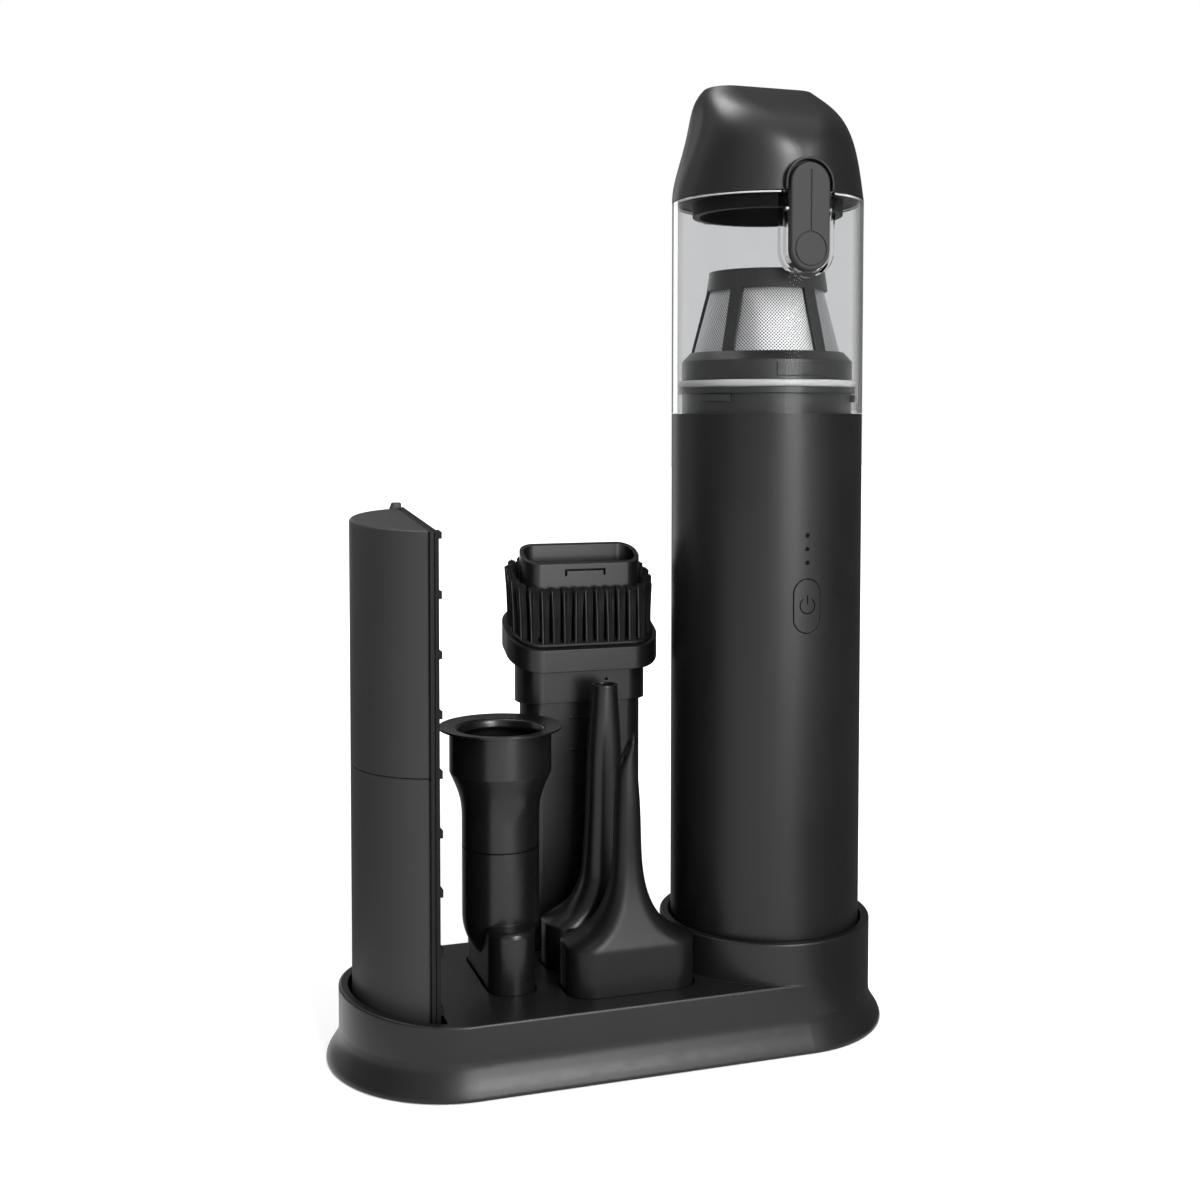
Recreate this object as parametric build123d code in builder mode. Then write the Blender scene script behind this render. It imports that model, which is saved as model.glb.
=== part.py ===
"""Mini vacuum cleaner standing in a storage dock with its five tools, in millimetres.

Origin: middle of the dock's footprint, on the table. +X runs along the dock to the vacuum,
+Y points to the back, +Z up.
"""
import os
from math import asin, cos, degrees, hypot, radians, sin, sqrt

from build123d import *

os.makedirs("parts", exist_ok=True)

# Fits shared by all pieces
overrun = 2.0  # how far a cut runs past a face
slip_gap = 0.3  # between bodies that move past each other
seat_gap = 0.1  # between a fixed piece and the hole it sits in
run_gap = 0.04  # radial play of a turning shaft

# Driving sizes of the vacuum
body_r = 32.5
body_t = 2.2
body_in_r = body_r - body_t
fixed_r = body_in_r - seat_gap

# Dock
tools_right_x = 19.61  # where the socket's wall begins, right of the tools
socket_gap = 0.6
socket_wall = 3.14
socket_r = body_r + socket_gap
dock_wall_r = socket_r + socket_wall
dock_end_x = tools_right_x + dock_wall_r
dock_flare = 4.06
dock_foot_r = dock_wall_r + dock_flare
dock_edge_z = 0.3
dock_tuck = 0.5
dock_lip_z = 0.8
dock_ogee_z = 11.0
dock_pull_low = 2.8
dock_pull_high = 5.4
platform_z = 22.0
rim_arc_r = 253.0
wall_spare = 3.6  # wall above the deck before the deck is cut
edge_round = 0.7
deck_t = 2.2
well_t = 1.6
shell_t = 2.6
socket_floor_z = 8.0
socket_rise = 13.5
socket_top_z = platform_z + socket_rise
base_lip = 1.2
base_t = 2.0
boss_r = 3.4
boss_x = 27.0
boss_edge = 6.64
boss_y = dock_wall_r - boss_edge
end_boss_in = 2.85
end_boss_x = dock_end_x - end_boss_in
screw_r = 1.4
screw_head_r = 2.7
screw_head_t = 1.2
screw_length = 7.0
foot_r = 5.0
foot_x = 62.0
foot_y = 22.0
foot_sink = 0.8

# Head recess at the left end
recess_wall = 2.94
recess_off = 8.05
recess_x = dock_end_x + recess_off
recess_floor_z = 14.0

# Plug that every tool pushes into the vacuum's mouth, and its pocket
cap_wall = 1.6
mouth_w = 39.2
mouth_d = 16.8
mouth_r = 8.0
mouth_y = 8.0
plug_gap = 0.2
plug_w = mouth_w - 2 * (cap_wall + plug_gap)
plug_d = mouth_d - 2 * (cap_wall + plug_gap)
plug_r = mouth_r - cap_wall - plug_gap
plug_length = 8.0
collar_sink = 3.0
collar_z = platform_z - collar_sink
plug_z = collar_z - plug_length
pocket_gap = 0.5
tool_wall = 1.5
funnel_share = 0.3  # of a nozzle's height, where its bore has narrowed

# Oblique nozzle
oblique_x = -0.6
oblique_y = -16.5
oblique_w = 43.5
oblique_d = 21.0
oblique_r = 8.5
oblique_shoulder_z = 37.0
oblique_top_z = 104.3
oblique_tip_w = 4.6
oblique_lip_drop = 11.5

# Blower nozzle
blower_x = -2.0
blower_y = 7.1
blower_w = 40.5
blower_d = 19.6
blower_r = 8.5
blower_column_x = 1.5
blower_shoulder_z = 36.8
blower_top_z = 116.5
blower_tip_w = 8.8
blower_tip_wall = 0.9

# Flange nozzle
flange_x = -37.9
flange_y = 4.0
flange_w = 15.7
flange_d = 42.0
flange_corner_r = 7.8
flange_shoulder_z = 42.0
flange_top_z = 105.3
flange_rim_r = 20.4
flange_rim_t = 1.3
flange_hole_r = 15.0
flange_drum_r = 16.9
flange_drum_z = 90.4
flange_waist_r = 12.8
flange_waist_z = 74.5
flange_bend_in = 2.6
flange_bend_drop = 5.8
flange_bend_rise = 7.5
flange_seam_z = 65.7
flange_cone_z = 43.0
flange_bulge_z = 36.0
flange_cone_bottom_z = 30.0
flange_spigot_t = 1.2
flange_spigot_length = 6.0
flange_round = 2.0

# Brush tool
brush_x = -3.0
brush_y = 27.0
tube_w = 43.0
tube_d = 13.5
tube_r = 6.0
tube_t = 1.5
slant_deg = 25.0
mouth_front_z = 156.4
slot_w = 14.7
slot_t = 0.7
slot_leg = 1.6
slot_drop = 2.5
detent_w = 12.0
detent_t = 0.7
detent_proud = 0.35
detent_pitch = 11.2
detent_top_z = 103.0
detent_count = 6
sleeve_t = 1.7
sleeve_w = tube_w + 2 * sleeve_t
sleeve_d = tube_d + 2 * sleeve_t
sleeve_r = tube_r + sleeve_t
sleeve_z = 108.5
brush_ledge_w = 11.5
brush_collar_w = tube_w + brush_ledge_w
brush_ledge_d = 13.1
brush_collar_d = tube_d + brush_ledge_d
brush_collar_r = 11.0
brush_collar_z = 120.0
brush_collar_t = 7.6
backing_t = 1.0
backing_inset = 1.4
bristle_length = 19.0
bristle_side = 0.62
tuft_pitch = 3.9
tuft_ring_r = 1.47
tuft_core_r = 0.62
dot_r = 0.5
dot_x = 7.1
dot_z = 116.1

# Floor head
head_off = 4.45
head_x = -dock_end_x - head_off
head_r = 27.5
head_t = 1.8
head_flat = 7.7
head_chord_x = head_x - head_flat
head_strip_t = 1.4
head_pad_t = 1.3
head_half_w = 28.4
head_strip_inset = 0.5
head_seam_z = 96.5
head_seam_gap = 0.3
head_top_z = 174.5
head_top_slope = 0.08
head_round = 1.0
head_plug_off = 14.9
head_plug_x = head_x - head_plug_off
head_plug_length = 6.6
head_end_t = 1.8
bump_h = 2.4
bump_proud = 0.9
bump_w = 5.0
bump_pitch = 18.35
bump_top_z = 171.4
bump_count = 9

# Vacuum, going up
tail_z = socket_floor_z
tail_t = 5.0
tail_round = 1.0
tail_spigot_t = 2.0
tail_spigot_h = 6.0
tail_boss_r = 3.2
tail_boss_ring_r = fixed_r - tail_boss_r
tail_boss_h = 10.0
exhaust_slot_w = 2.4
exhaust_slot_in_r = 7.0
exhaust_slot_out_r = 20.0
exhaust_slots = 12
foam_gap = 1.0
foam_r = tail_boss_ring_r - tail_boss_r - foam_gap
foam_t = 5.0
tray_z = 31.0
tray_t = 6.0
tray_sink = 2.0
tray_vent_r = 4.5
vent_in = 6.2
vent_ring_r = fixed_r - vent_in
cell_r = 9.15
cell_length = 65.0
cell_spread = 0.4
inlet_z = 53.0
inlet_w = 9.0
inlet_h = 3.2
inlet_round = 1.5
inlet_wall = 0.45
inlet_depth = 8.0
inlet_board_w = 16.0
inlet_board_d = 11.0
inlet_board_t = 1.2
cradle_z = 125.0
cradle_t = 3.0
cradle_hole_r = 8.0
motor_r = 18.0
motor_h = 42.5
motor_t = 1.4
bearing_t = 3.0
magnet_t = 2.4
armature_gap = 0.6
armature_margin = 5.0
shaft_r = 1.6
shaft_tail = 3.0
damper_t = 1.5
damper_in_r = 12.0
mount_t = 4.0
mount_hole_r = 5.0
mount_vent_r = 3.0
shroud_h = 20.0
shroud_t = 1.4
shroud_eye_r = 12.0
fan_clear = 2.8
fan_r = fixed_r - shroud_t - fan_clear
fan_lift = 2.0
fan_disc_t = 1.4
fan_hub_r = 5.0
fan_h = 13.0
fan_blade_t = 1.2
fan_blades = 9
board_in = 4.3
board_y = body_in_r - board_in
board_t = 1.6
board_w = 20.0
board_z = 117.0
board_top_gap = 0.3
led_r = 0.7
led_top_z = 168.6
led_pitch = 4.45
led_count = 3
led_flange_r = 1.2
led_flange_t = 0.8
chip_w = 1.8
chip_h = 1.0
chip_t = 0.7
button_z = 145.55
button_w = 9.3
button_h = 17.5
button_gap = 0.25
button_proud = 0.15
button_travel = 0.8
button_flange = 1.0
button_flange_t = 1.0
switch_side = 6.0
switch_t = 1.4
body_top_z = 208.3
neck_z = 198.0
neck_step = 1.3
neck_r = fixed_r - neck_step
neck_t = 4.9
neck_in_r = neck_r - neck_t
neck_ring_r = fixed_r
neck_ring_z = 215.0
seal_z = 217.0
seal_proud = 0.4
seal_r = neck_ring_r + seal_proud
seal_seat = 0.9
seal_seat_r = neck_r - seal_seat
neck_top_z = 219.5
neck_hole_r = 18.0
lug_proud = 0.1
lug_r = neck_ring_r + lug_proud
lug_z = 212.2
lug_h = 2.4
lug_deg = 22.0
lug_angles = (80.0, 200.0, 320.0)
catch_lap = 0.9
catch_r = lug_r - catch_lap
catch_z = 209.4

# Filter
filter_step = 1.2
filter_base_r = neck_ring_r - filter_step
filter_base_z = 226.0
filter_chamfer_z = 229.0
filter_ledge = 2.8
filter_foot_r = filter_base_r - filter_ledge
filter_foot_t = 4.2
filter_bore_r = filter_foot_r - filter_foot_t
filter_band_z = 250.0
filter_taper = 5.6
filter_band_r = filter_foot_r - filter_taper
filter_top_z = 256.5
filter_top_taper = 0.9
filter_top_r = filter_band_r - filter_top_taper
filter_lid_t = 1.5
rib_w = 4.3
rib_t = 1.3
rib_count = 5
mesh_t = 0.4
tab_w = 17.8
tab_proud = 0.5
tab_drop = 1.2
core_gap = 1.0
core_flange_r = filter_bore_r - core_gap
core_step = 4.0
core_r = core_flange_r - core_step
pleat_depth = 3.5
core_valley_r = core_r - pleat_depth
core_flange_t = 2.0
core_pleats = 24
core_top_gap = 3.0

# Dust cup, latch and cap
cup_t = 1.6
cup_in_r = body_r - cup_t
cup_gap = 0.2
cup_z = body_top_z + cup_gap
cup_top_z = 279.8
cap_gap = 0.2
cap_z = cup_top_z + cap_gap
cap_top_z = 319.3
latch_w = 13.9
latch_z = 254.2
latch_top_z = 289.0
latch_proud = 0.9
latch_y = -body_r - latch_proud
latch_t = 3.0
latch_round = 0.8
latch_pin_z = 274.0
latch_pin_in = 2.5
latch_pin_y = latch_y + latch_pin_in
latch_pin_r = 0.8
latch_boss_r = 1.7
latch_boss_w = 11.0
pad_r = 5.7
pad_rim = 0.45
pad_sink = 0.35
groove_w = 0.5
groove_drop = 2.5
cradle_gap = 0.7
cradle_wall = 1.3
cradle_depth = 4.0
cradle_floor_y = cradle_depth - body_r
cradle_front_in = 0.2
cradle_front_y = cradle_front_in - body_r
arch_gap = 0.9
arch_rim = 0.8
arch_proud = 0.5
arch_front_y = -body_r - arch_proud
gasket_step = 5.4
gasket_r = cup_in_r - gasket_step
gasket_wall = 2.3
gasket_in_r = gasket_r - gasket_wall
gasket_z = 275.5
gasket_t = 1.6
gasket_gap = 0.6
hinge_out = 3.2
hinge_y = body_r + hinge_out
hinge_z = (cup_top_z + cap_z) / 2
hinge_r = 2.6
hinge_pin_r = 1.2
hinge_mid_w = 7.4
hinge_out_w = 17.0
hinge_arm_t = 2.5
hinge_root_in = 1.5
hinge_root_y = body_r - hinge_root_in

# Sections as shares of the way from the wide end to the narrow end
# (height, width, depth, corner radius, sideways shift)
cap_shares = (
    (0, 0, 0, 0, 0),
    (0.3, 0.18, 0.095, 0.16, 0),
    (0.59, 0.465, 0.34, 0.505, 0.04),
    (0.81, 0.66, 0.665, 0.795, 0.5),
    (1, 1, 1, 1, 1),
)
oblique_shares = (
    (0, 0, 0, 0, 0),
    (0.033, 0.24, 0.13, 0.15, 0),
    (0.074, 0.46, 0.27, 0.35, 0),
    (0.149, 0.67, 0.45, 0.55, 0),
    (0.252, 0.81, 0.62, 0.7, 0),
    (0.4, 0.88, 0.74, 0.78, 0),
    (0.669, 0.91, 0.8, 0.82, 0),
    (1, 1, 1, 1, 0),
)
blower_shares = (
    (0, 0, 0, 0, 0),
    (0.03, 0.24, 0.2, 0.2, 0.24),
    (0.075, 0.53, 0.4, 0.4, 0.53),
    (0.16, 0.745, 0.62, 0.55, 0.75),
    (0.28, 0.82, 0.8, 0.6, 0.85),
    (0.5, 0.87, 0.9, 0.75, 0.95),
    (0.72, 0.905, 0.94, 0.85, 1),
    (1, 1, 1, 1, 1),
)


def upright(x, y, angle=0):
    """Plane that stands on a vertical axis and runs outward at an angle: (radius, height)."""
    turn_by = radians(angle)
    return Plane((x, y, 0), x_dir=(cos(turn_by), sin(turn_by), 0), z_dir=(sin(turn_by), -cos(turn_by), 0))


def turn(points, x, y, angle=0, arc=360, mode=Mode.ADD):
    """Turn a (radius, height) outline about the vertical line through (x, y)."""
    with BuildSketch(upright(x, y, angle)) as outline:
        with BuildLine():
            Polyline(*points, close=True)
        make_face()
    revolve(outline.sketch, axis=Axis((x, y, 0), (0, 0, 1)), revolution_arc=arc, mode=mode)


def ring(x, y, low, high, outer, inner, mode=Mode.ADD):
    """Upright ring between two heights."""
    with BuildSketch(Plane((x, y, low))) as outline:
        Circle(outer)
        Circle(inner, mode=Mode.SUBTRACT)
    extrude(outline.sketch, amount=high - low, mode=mode)


def post(x, y, low, high, radius, mode=Mode.ADD):
    """Upright round post between two heights."""
    with BuildSketch(Plane((x, y, low))) as outline:
        Circle(radius)
    extrude(outline.sketch, amount=high - low, mode=mode)


def prism(x, y, low, high, width, depth, radius, mode=Mode.ADD):
    """Upright prism with a rounded rectangle as its outline."""
    with BuildSketch(Plane((x, y, low))) as outline:
        RectangleRounded(width, depth, radius)
    extrude(outline.sketch, amount=high - low, mode=mode)


def block(low, high, mode=Mode.ADD):
    """Box between two opposite corners."""
    size = [b - a for a, b in zip(low, high)]
    with BuildSketch(Plane((low[0], low[1], low[2]))) as outline:
        Rectangle(size[0], size[1], align=(Align.MIN, Align.MIN))
    extrude(outline.sketch, amount=size[2], mode=mode)


def rod_x(y, z, left, right, radius, mode=Mode.ADD):
    """Round rod along X on the vacuum's middle line, given from the vacuum's axis."""
    with BuildSketch(Plane((dock_end_x + left, y, z), x_dir=(0, 1, 0), z_dir=(1, 0, 0))) as outline:
        Circle(radius)
    extrude(outline.sketch, amount=right - left, mode=mode)


def rod_y(x, z, front, back, radius, mode=Mode.ADD):
    """Round rod along Y between two depths."""
    with BuildSketch(Plane((x, front, z), x_dir=(1, 0, 0), z_dir=(0, 1, 0))) as outline:
        Circle(radius)
    extrude(outline.sketch, amount=back - front, mode=mode)


def stadium_y(x, z, front, back, width, height, mode=Mode.ADD):
    """Upright stadium outline pushed along Y between two depths."""
    with BuildSketch(Plane((x, front, z), x_dir=(1, 0, 0), z_dir=(0, 1, 0))) as outline:
        SlotOverall(height, width, rotation=90)
    extrude(outline.sketch, amount=back - front, mode=mode)


def arch_y(x, low, middle, front, back, half, mode=Mode.ADD):
    """Upright slab along Y: a straight end at one height and a round end about another."""
    with BuildSketch(Plane((x, front, 0), x_dir=(1, 0, 0), z_dir=(0, -1, 0))) as outline:
        with BuildLine():
            rise = half if middle > low else -half
            Line((-half, middle), (-half, low))
            Line((-half, low), (half, low))
            Line((half, low), (half, middle))
            ThreePointArc((half, middle), (0, middle + rise), (-half, middle))
        make_face()
    extrude(outline.sketch, amount=front - back, mode=mode)


def rise(wide, narrow, shares, x, y, inset=0, ruled=False, mode=Mode.ADD):
    """Loft from a wide section to a narrow one: (height, width, depth, radius, shift x, shift y)."""
    faces = []
    for height_share, width_share, depth_share, radius_share, shift_share in shares:
        portions = (height_share, width_share, depth_share, radius_share, shift_share, shift_share)
        z, w, d, r, dx, dy = [a + (b - a) * s for a, b, s in zip(wide, narrow, portions)]
        with BuildSketch(Plane((x + dx, y + dy, z))) as outline:
            corner_r = min(r, w / 2 - run_gap, d / 2 - run_gap) - inset
            RectangleRounded(w - 2 * inset, d - 2 * inset, corner_r)
        faces.append(outline.sketch.faces()[0])
    loft(faces, ruled=ruled, mode=mode)


def finer(shares):
    """Add a section midway between each pair, on a smooth curve through its neighbours."""
    rows = []
    for place in range(len(shares) - 1):
        before = shares[max(place - 1, 0)]
        after = shares[min(place + 2, len(shares) - 1)]
        rows.append(shares[place])
        near = zip(before, shares[place], shares[place + 1], after)
        rows.append(tuple((9 * (b + c) - a - d) / 16 for a, b, c, d in near))
    return rows + [shares[-1]]


def dock_half(plane):
    """Half outline of the dock: tucked foot, ogee and wall."""
    top = platform_z + wall_spare
    foot_in = dock_foot_r - dock_tuck
    with BuildSketch(plane) as half:
        with BuildLine():
            Line((0, dock_edge_z), (foot_in, dock_edge_z))
            Bezier((foot_in, dock_edge_z), (dock_foot_r, dock_edge_z), (dock_foot_r, dock_lip_z))
            Bezier(
                (dock_foot_r, dock_lip_z),
                (dock_foot_r, dock_lip_z + dock_pull_low),
                (dock_wall_r, dock_ogee_z - dock_pull_high),
                (dock_wall_r, dock_ogee_z),
            )
            Polyline((dock_wall_r, dock_ogee_z), (dock_wall_r, top), (0, top), (0, dock_edge_z))
        make_face()
    return half.sketch


def stadium(low, high, radius, mode=Mode.ADD):
    """Upright prism with the dock's own stadium outline."""
    with BuildSketch(Plane((0, 0, low))) as outline:
        SlotCenterToCenter(2 * dock_end_x, 2 * radius)
    extrude(outline.sketch, amount=high - low, mode=mode)


def head_recess(low, high, grow, mode=Mode.ADD):
    """D-shaped space in which the floor head stands."""
    reach = 2 * dock_foot_r
    with BuildSketch(Plane((-dock_end_x, 0, low))) as outline:
        Circle(dock_wall_r - recess_wall + grow)
        with Locations((dock_end_x - recess_x + grow - reach / 2, 0)):
            Rectangle(reach, reach, mode=Mode.INTERSECT)
    extrude(outline.sketch, amount=high - low, mode=mode)


# Every pocket: place, collar outline, plug outline
pockets = (
    (oblique_x, oblique_y, oblique_w, oblique_d, oblique_r, plug_w, plug_d),
    (blower_x, blower_y, blower_w, blower_d, blower_r, plug_w, plug_d),
    (brush_x, brush_y, tube_w, tube_d, tube_r, plug_w, plug_d),
    (flange_x, flange_y, flange_w, flange_d, flange_corner_r, plug_d, plug_w),
)
base_top_z = dock_edge_z + base_t
boss_places = [(boss_x, boss_y), (boss_x, -boss_y), (-end_boss_x, boss_y), (-end_boss_x, -boss_y)]
foot_places = [(foot_x * a, foot_y * b) for a in (-1, 1) for b in (-1, 1)]

# Space under the dock's deck
with BuildPart() as dock_hollow:
    stadium(base_top_z, platform_z - deck_t, dock_wall_r - shell_t)
    post(dock_end_x, 0, socket_floor_z - well_t, platform_z, socket_r + well_t, Mode.SUBTRACT)
    for px, py, pw, pd, pr, lw, ld in pockets:
        grow = 2 * (pocket_gap + well_t)
        prism(px, py, plug_z - slip_gap - well_t, platform_z, pw + grow, pd + grow, pr, Mode.SUBTRACT)
    head_recess(recess_floor_z - well_t, platform_z, well_t, Mode.SUBTRACT)
    grow = 2 * (pocket_gap + well_t)
    head_low = recess_floor_z - head_plug_length - slip_gap - well_t
    prism(head_plug_x, 0, head_low, platform_z, plug_d + grow, plug_w + grow, plug_r, Mode.SUBTRACT)
    for px, py in boss_places:
        post(px, py, base_top_z, platform_z, boss_r, Mode.SUBTRACT)

with BuildPart() as dock_shell:
    for side in (-1, 1):
        revolve(dock_half(upright(side * dock_end_x, 0)), axis=Axis((side * dock_end_x, 0, 0), (0, 0, 1)))
        run = Plane((-side * dock_end_x, 0, 0), x_dir=(0, side, 0), z_dir=(side, 0, 0))
        extrude(dock_half(run), amount=2 * dock_end_x)
    # level deck that rises to the left rim on a long arc
    reach = dock_wall_r + overrun
    far_x = dock_end_x + reach
    rim_z = platform_z + rim_arc_r - sqrt(rim_arc_r**2 - reach**2)
    high_z = platform_z + reach
    with BuildSketch(Plane.XZ):
        with BuildLine():
            TangentArc((-dock_end_x, platform_z), (-far_x, rim_z), tangent=(-1, 0))
            Polyline(
                (-far_x, rim_z),
                (-far_x, high_z),
                (far_x, high_z),
                (far_x, platform_z),
                (-dock_end_x, platform_z),
            )
        make_face()
    extrude(amount=reach, both=True, mode=Mode.SUBTRACT)
    rim_edges = []
    for edge in dock_shell.edges():
        mid = edge.position_at(0.5)
        off_wall = hypot(max(abs(mid.X) - dock_end_x, 0), mid.Y) - dock_wall_r
        if abs(off_wall) < run_gap and mid.Z > platform_z - run_gap:
            rim_edges.append(edge)
    fillet(rim_edges, edge_round)
    post(dock_end_x, 0, dock_ogee_z, socket_top_z, dock_wall_r)
    post(dock_end_x, 0, socket_floor_z, socket_top_z + overrun, socket_r, Mode.SUBTRACT)
    fillet(dock_shell.edges().filter_by_position(Axis.Z, socket_top_z, socket_top_z), edge_round)
    add(dock_hollow.part, mode=Mode.SUBTRACT)
    stadium(0, base_top_z, dock_wall_r + base_lip + slip_gap, Mode.SUBTRACT)
    for px, py, pw, pd, pr, lw, ld in pockets:
        grow = 2 * pocket_gap
        prism(px, py, collar_z, platform_z + overrun, pw + grow, pd + grow, pr, Mode.SUBTRACT)
        prism(px, py, plug_z - slip_gap, platform_z, lw + grow, ld + grow, plug_r, Mode.SUBTRACT)
    head_recess(recess_floor_z, high_z, 0, Mode.SUBTRACT)
    grow = 2 * pocket_gap
    head_low = recess_floor_z - head_plug_length - slip_gap
    prism(head_plug_x, 0, head_low, platform_z, plug_d + grow, plug_w + grow, plug_r, Mode.SUBTRACT)
    for px, py in boss_places:
        post(px, py, base_top_z, dock_edge_z + screw_length + overrun, screw_r + run_gap, Mode.SUBTRACT)
dock_shell.part.label = "dock_shell"
export_step(dock_shell.part, "parts/dock_shell.step")

with BuildPart() as dock_base_plate:
    stadium(dock_edge_z, base_top_z, dock_wall_r + base_lip)
    for px, py in boss_places:
        post(px, py, 0, base_top_z, screw_r + seat_gap, Mode.SUBTRACT)
        post(px, py, 0, dock_edge_z + screw_head_t, screw_head_r + seat_gap, Mode.SUBTRACT)
    for px, py in foot_places:
        post(px, py, 0, dock_edge_z + foot_sink, foot_r + seat_gap, Mode.SUBTRACT)
dock_base_plate.part.label = "dock_base_plate"
export_step(dock_base_plate.part, "parts/dock_base_plate.step")

with BuildPart() as dock_feet:
    for px, py in foot_places:
        post(px, py, 0, dock_edge_z + foot_sink, foot_r)
dock_feet.part.label = "dock_feet"
export_step(dock_feet.part, "parts/dock_feet.step")

with BuildPart() as dock_screws:
    for px, py in boss_places:
        post(px, py, dock_edge_z, dock_edge_z + screw_head_t, screw_head_r)
        post(px, py, dock_edge_z, dock_edge_z + screw_length, screw_r)
dock_screws.part.label = "dock_screws"
export_step(dock_screws.part, "parts/dock_screws.step")

# Vacuum body and what it holds
axis_x = dock_end_x


def round_places(radius, angles):
    """Places on a circle about the vacuum's axis."""
    return [(axis_x + radius * cos(radians(a)), radius * sin(radians(a))) for a in angles]


tail_top_z = tail_z + tail_t
boss_angles = (30, 150, 270)
boss_ring = round_places(tail_boss_ring_r, boss_angles)
spigot_top_z = tail_top_z + tail_spigot_h
inside_y = -sqrt(body_in_r**2 - (button_w / 2 + button_flange) ** 2)
flange_front_y = inside_y + slip_gap
button_hole_w = button_w + 2 * button_gap
button_hole_h = button_h + 2 * button_gap
wall_cut_y = overrun - body_in_r

with BuildPart() as body_shell:
    ring(axis_x, 0, tail_top_z, body_top_z, body_r, body_in_r)
    for bx, by in boss_ring:
        post(bx, by, spigot_top_z + slip_gap, spigot_top_z + tail_boss_h, tail_boss_r + body_t / 2)
        post(bx, by, spigot_top_z, spigot_top_z + tail_boss_h - overrun, screw_r + run_gap, Mode.SUBTRACT)
    with BuildSketch(Plane((axis_x, 0, tail_top_z))):
        Circle(body_r)
    extrude(amount=body_top_z - tail_top_z, mode=Mode.INTERSECT)
    out_y = -body_r - overrun
    stadium_y(axis_x, button_z, out_y, wall_cut_y, button_hole_w, button_hole_h, Mode.SUBTRACT)
    for step in range(led_count):
        led_z = led_top_z - step * led_pitch
        rod_y(axis_x, led_z, out_y, wall_cut_y, led_r + run_gap, Mode.SUBTRACT)
    with BuildSketch(Plane((axis_x, neck_in_r, inlet_z), x_dir=(1, 0, 0), z_dir=(0, 1, 0))):
        RectangleRounded(inlet_w + 2 * seat_gap, inlet_h + 2 * seat_gap, inlet_round)
    extrude(amount=body_r, mode=Mode.SUBTRACT)
body_shell.part.label = "body_shell"
export_step(body_shell.part, "parts/body_shell.step")

with BuildPart() as tail_cap:
    ring_in_r = fixed_r - tail_spigot_t
    turn(
        (
            (0, tail_z),
            (body_r - tail_round, tail_z),
            (body_r, tail_z + tail_round),
            (body_r, tail_top_z),
            (fixed_r, tail_top_z),
            (fixed_r, spigot_top_z),
            (ring_in_r, spigot_top_z),
            (ring_in_r, tail_top_z),
            (0, tail_top_z),
        ),
        axis_x,
        0,
    )
    for bx, by in boss_ring:
        post(bx, by, tail_top_z, spigot_top_z, tail_boss_r)
        post(bx, by, tail_z, spigot_top_z, screw_r + seat_gap, Mode.SUBTRACT)
        post(bx, by, tail_z, tail_z + screw_head_t, screw_head_r + seat_gap, Mode.SUBTRACT)
    with BuildSketch(Plane((axis_x, 0, tail_z))):
        with PolarLocations((exhaust_slot_in_r + exhaust_slot_out_r) / 2, exhaust_slots):
            SlotOverall(exhaust_slot_out_r - exhaust_slot_in_r, exhaust_slot_w)
    extrude(amount=tail_t, mode=Mode.SUBTRACT)
tail_cap.part.label = "tail_cap"
export_step(tail_cap.part, "parts/tail_cap.step")

with BuildPart() as tail_screws:
    tail_screw_top_z = spigot_top_z + tail_boss_h - 2 * overrun
    for bx, by in boss_ring:
        post(bx, by, tail_z, tail_z + screw_head_t, screw_head_r)
        post(bx, by, tail_z, tail_screw_top_z, screw_r)
tail_screws.part.label = "tail_screws"
export_step(tail_screws.part, "parts/tail_screws.step")

with BuildPart() as exhaust_foam:
    post(axis_x, 0, tail_top_z, tail_top_z + foam_t, foam_r)
exhaust_foam.part.label = "exhaust_foam"
export_step(exhaust_foam.part, "parts/exhaust_foam.step")

cell_ring_r = (cell_r + cell_spread) / sin(radians(60))
cell_places = round_places(cell_ring_r, boss_angles)
cell_z = tray_z + tray_t - tray_sink
upper_tray_z = cell_z + cell_length - tray_sink

with BuildPart() as battery_cells:
    for cx, cy in cell_places:
        post(cx, cy, cell_z, cell_z + cell_length, cell_r)
battery_cells.part.label = "battery_cells"
export_step(battery_cells.part, "parts/battery_cells.step")

with BuildPart() as battery_tray_lower:
    post(axis_x, 0, tray_z, tray_z + tray_t, fixed_r)
    for cx, cy in cell_places:
        post(cx, cy, cell_z, tray_z + tray_t, cell_r + seat_gap, Mode.SUBTRACT)
    with BuildSketch(Plane((axis_x, 0, tray_z))):
        with PolarLocations(vent_ring_r, len(cell_places), start_angle=90):
            Circle(tray_vent_r)
    extrude(amount=tray_t, mode=Mode.SUBTRACT)
battery_tray_lower.part.label = "battery_tray_lower"
export_step(battery_tray_lower.part, "parts/battery_tray_lower.step")

with BuildPart() as battery_tray_upper:
    post(axis_x, 0, upper_tray_z, upper_tray_z + tray_t, fixed_r)
    for cx, cy in cell_places:
        post(cx, cy, upper_tray_z, upper_tray_z + tray_sink, cell_r + seat_gap, Mode.SUBTRACT)
    with BuildSketch(Plane((axis_x, 0, upper_tray_z))):
        with PolarLocations(vent_ring_r, len(cell_places), start_angle=90):
            Circle(tray_vent_r)
    extrude(amount=tray_t, mode=Mode.SUBTRACT)
battery_tray_upper.part.label = "battery_tray_upper"
export_step(battery_tray_upper.part, "parts/battery_tray_upper.step")

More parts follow.
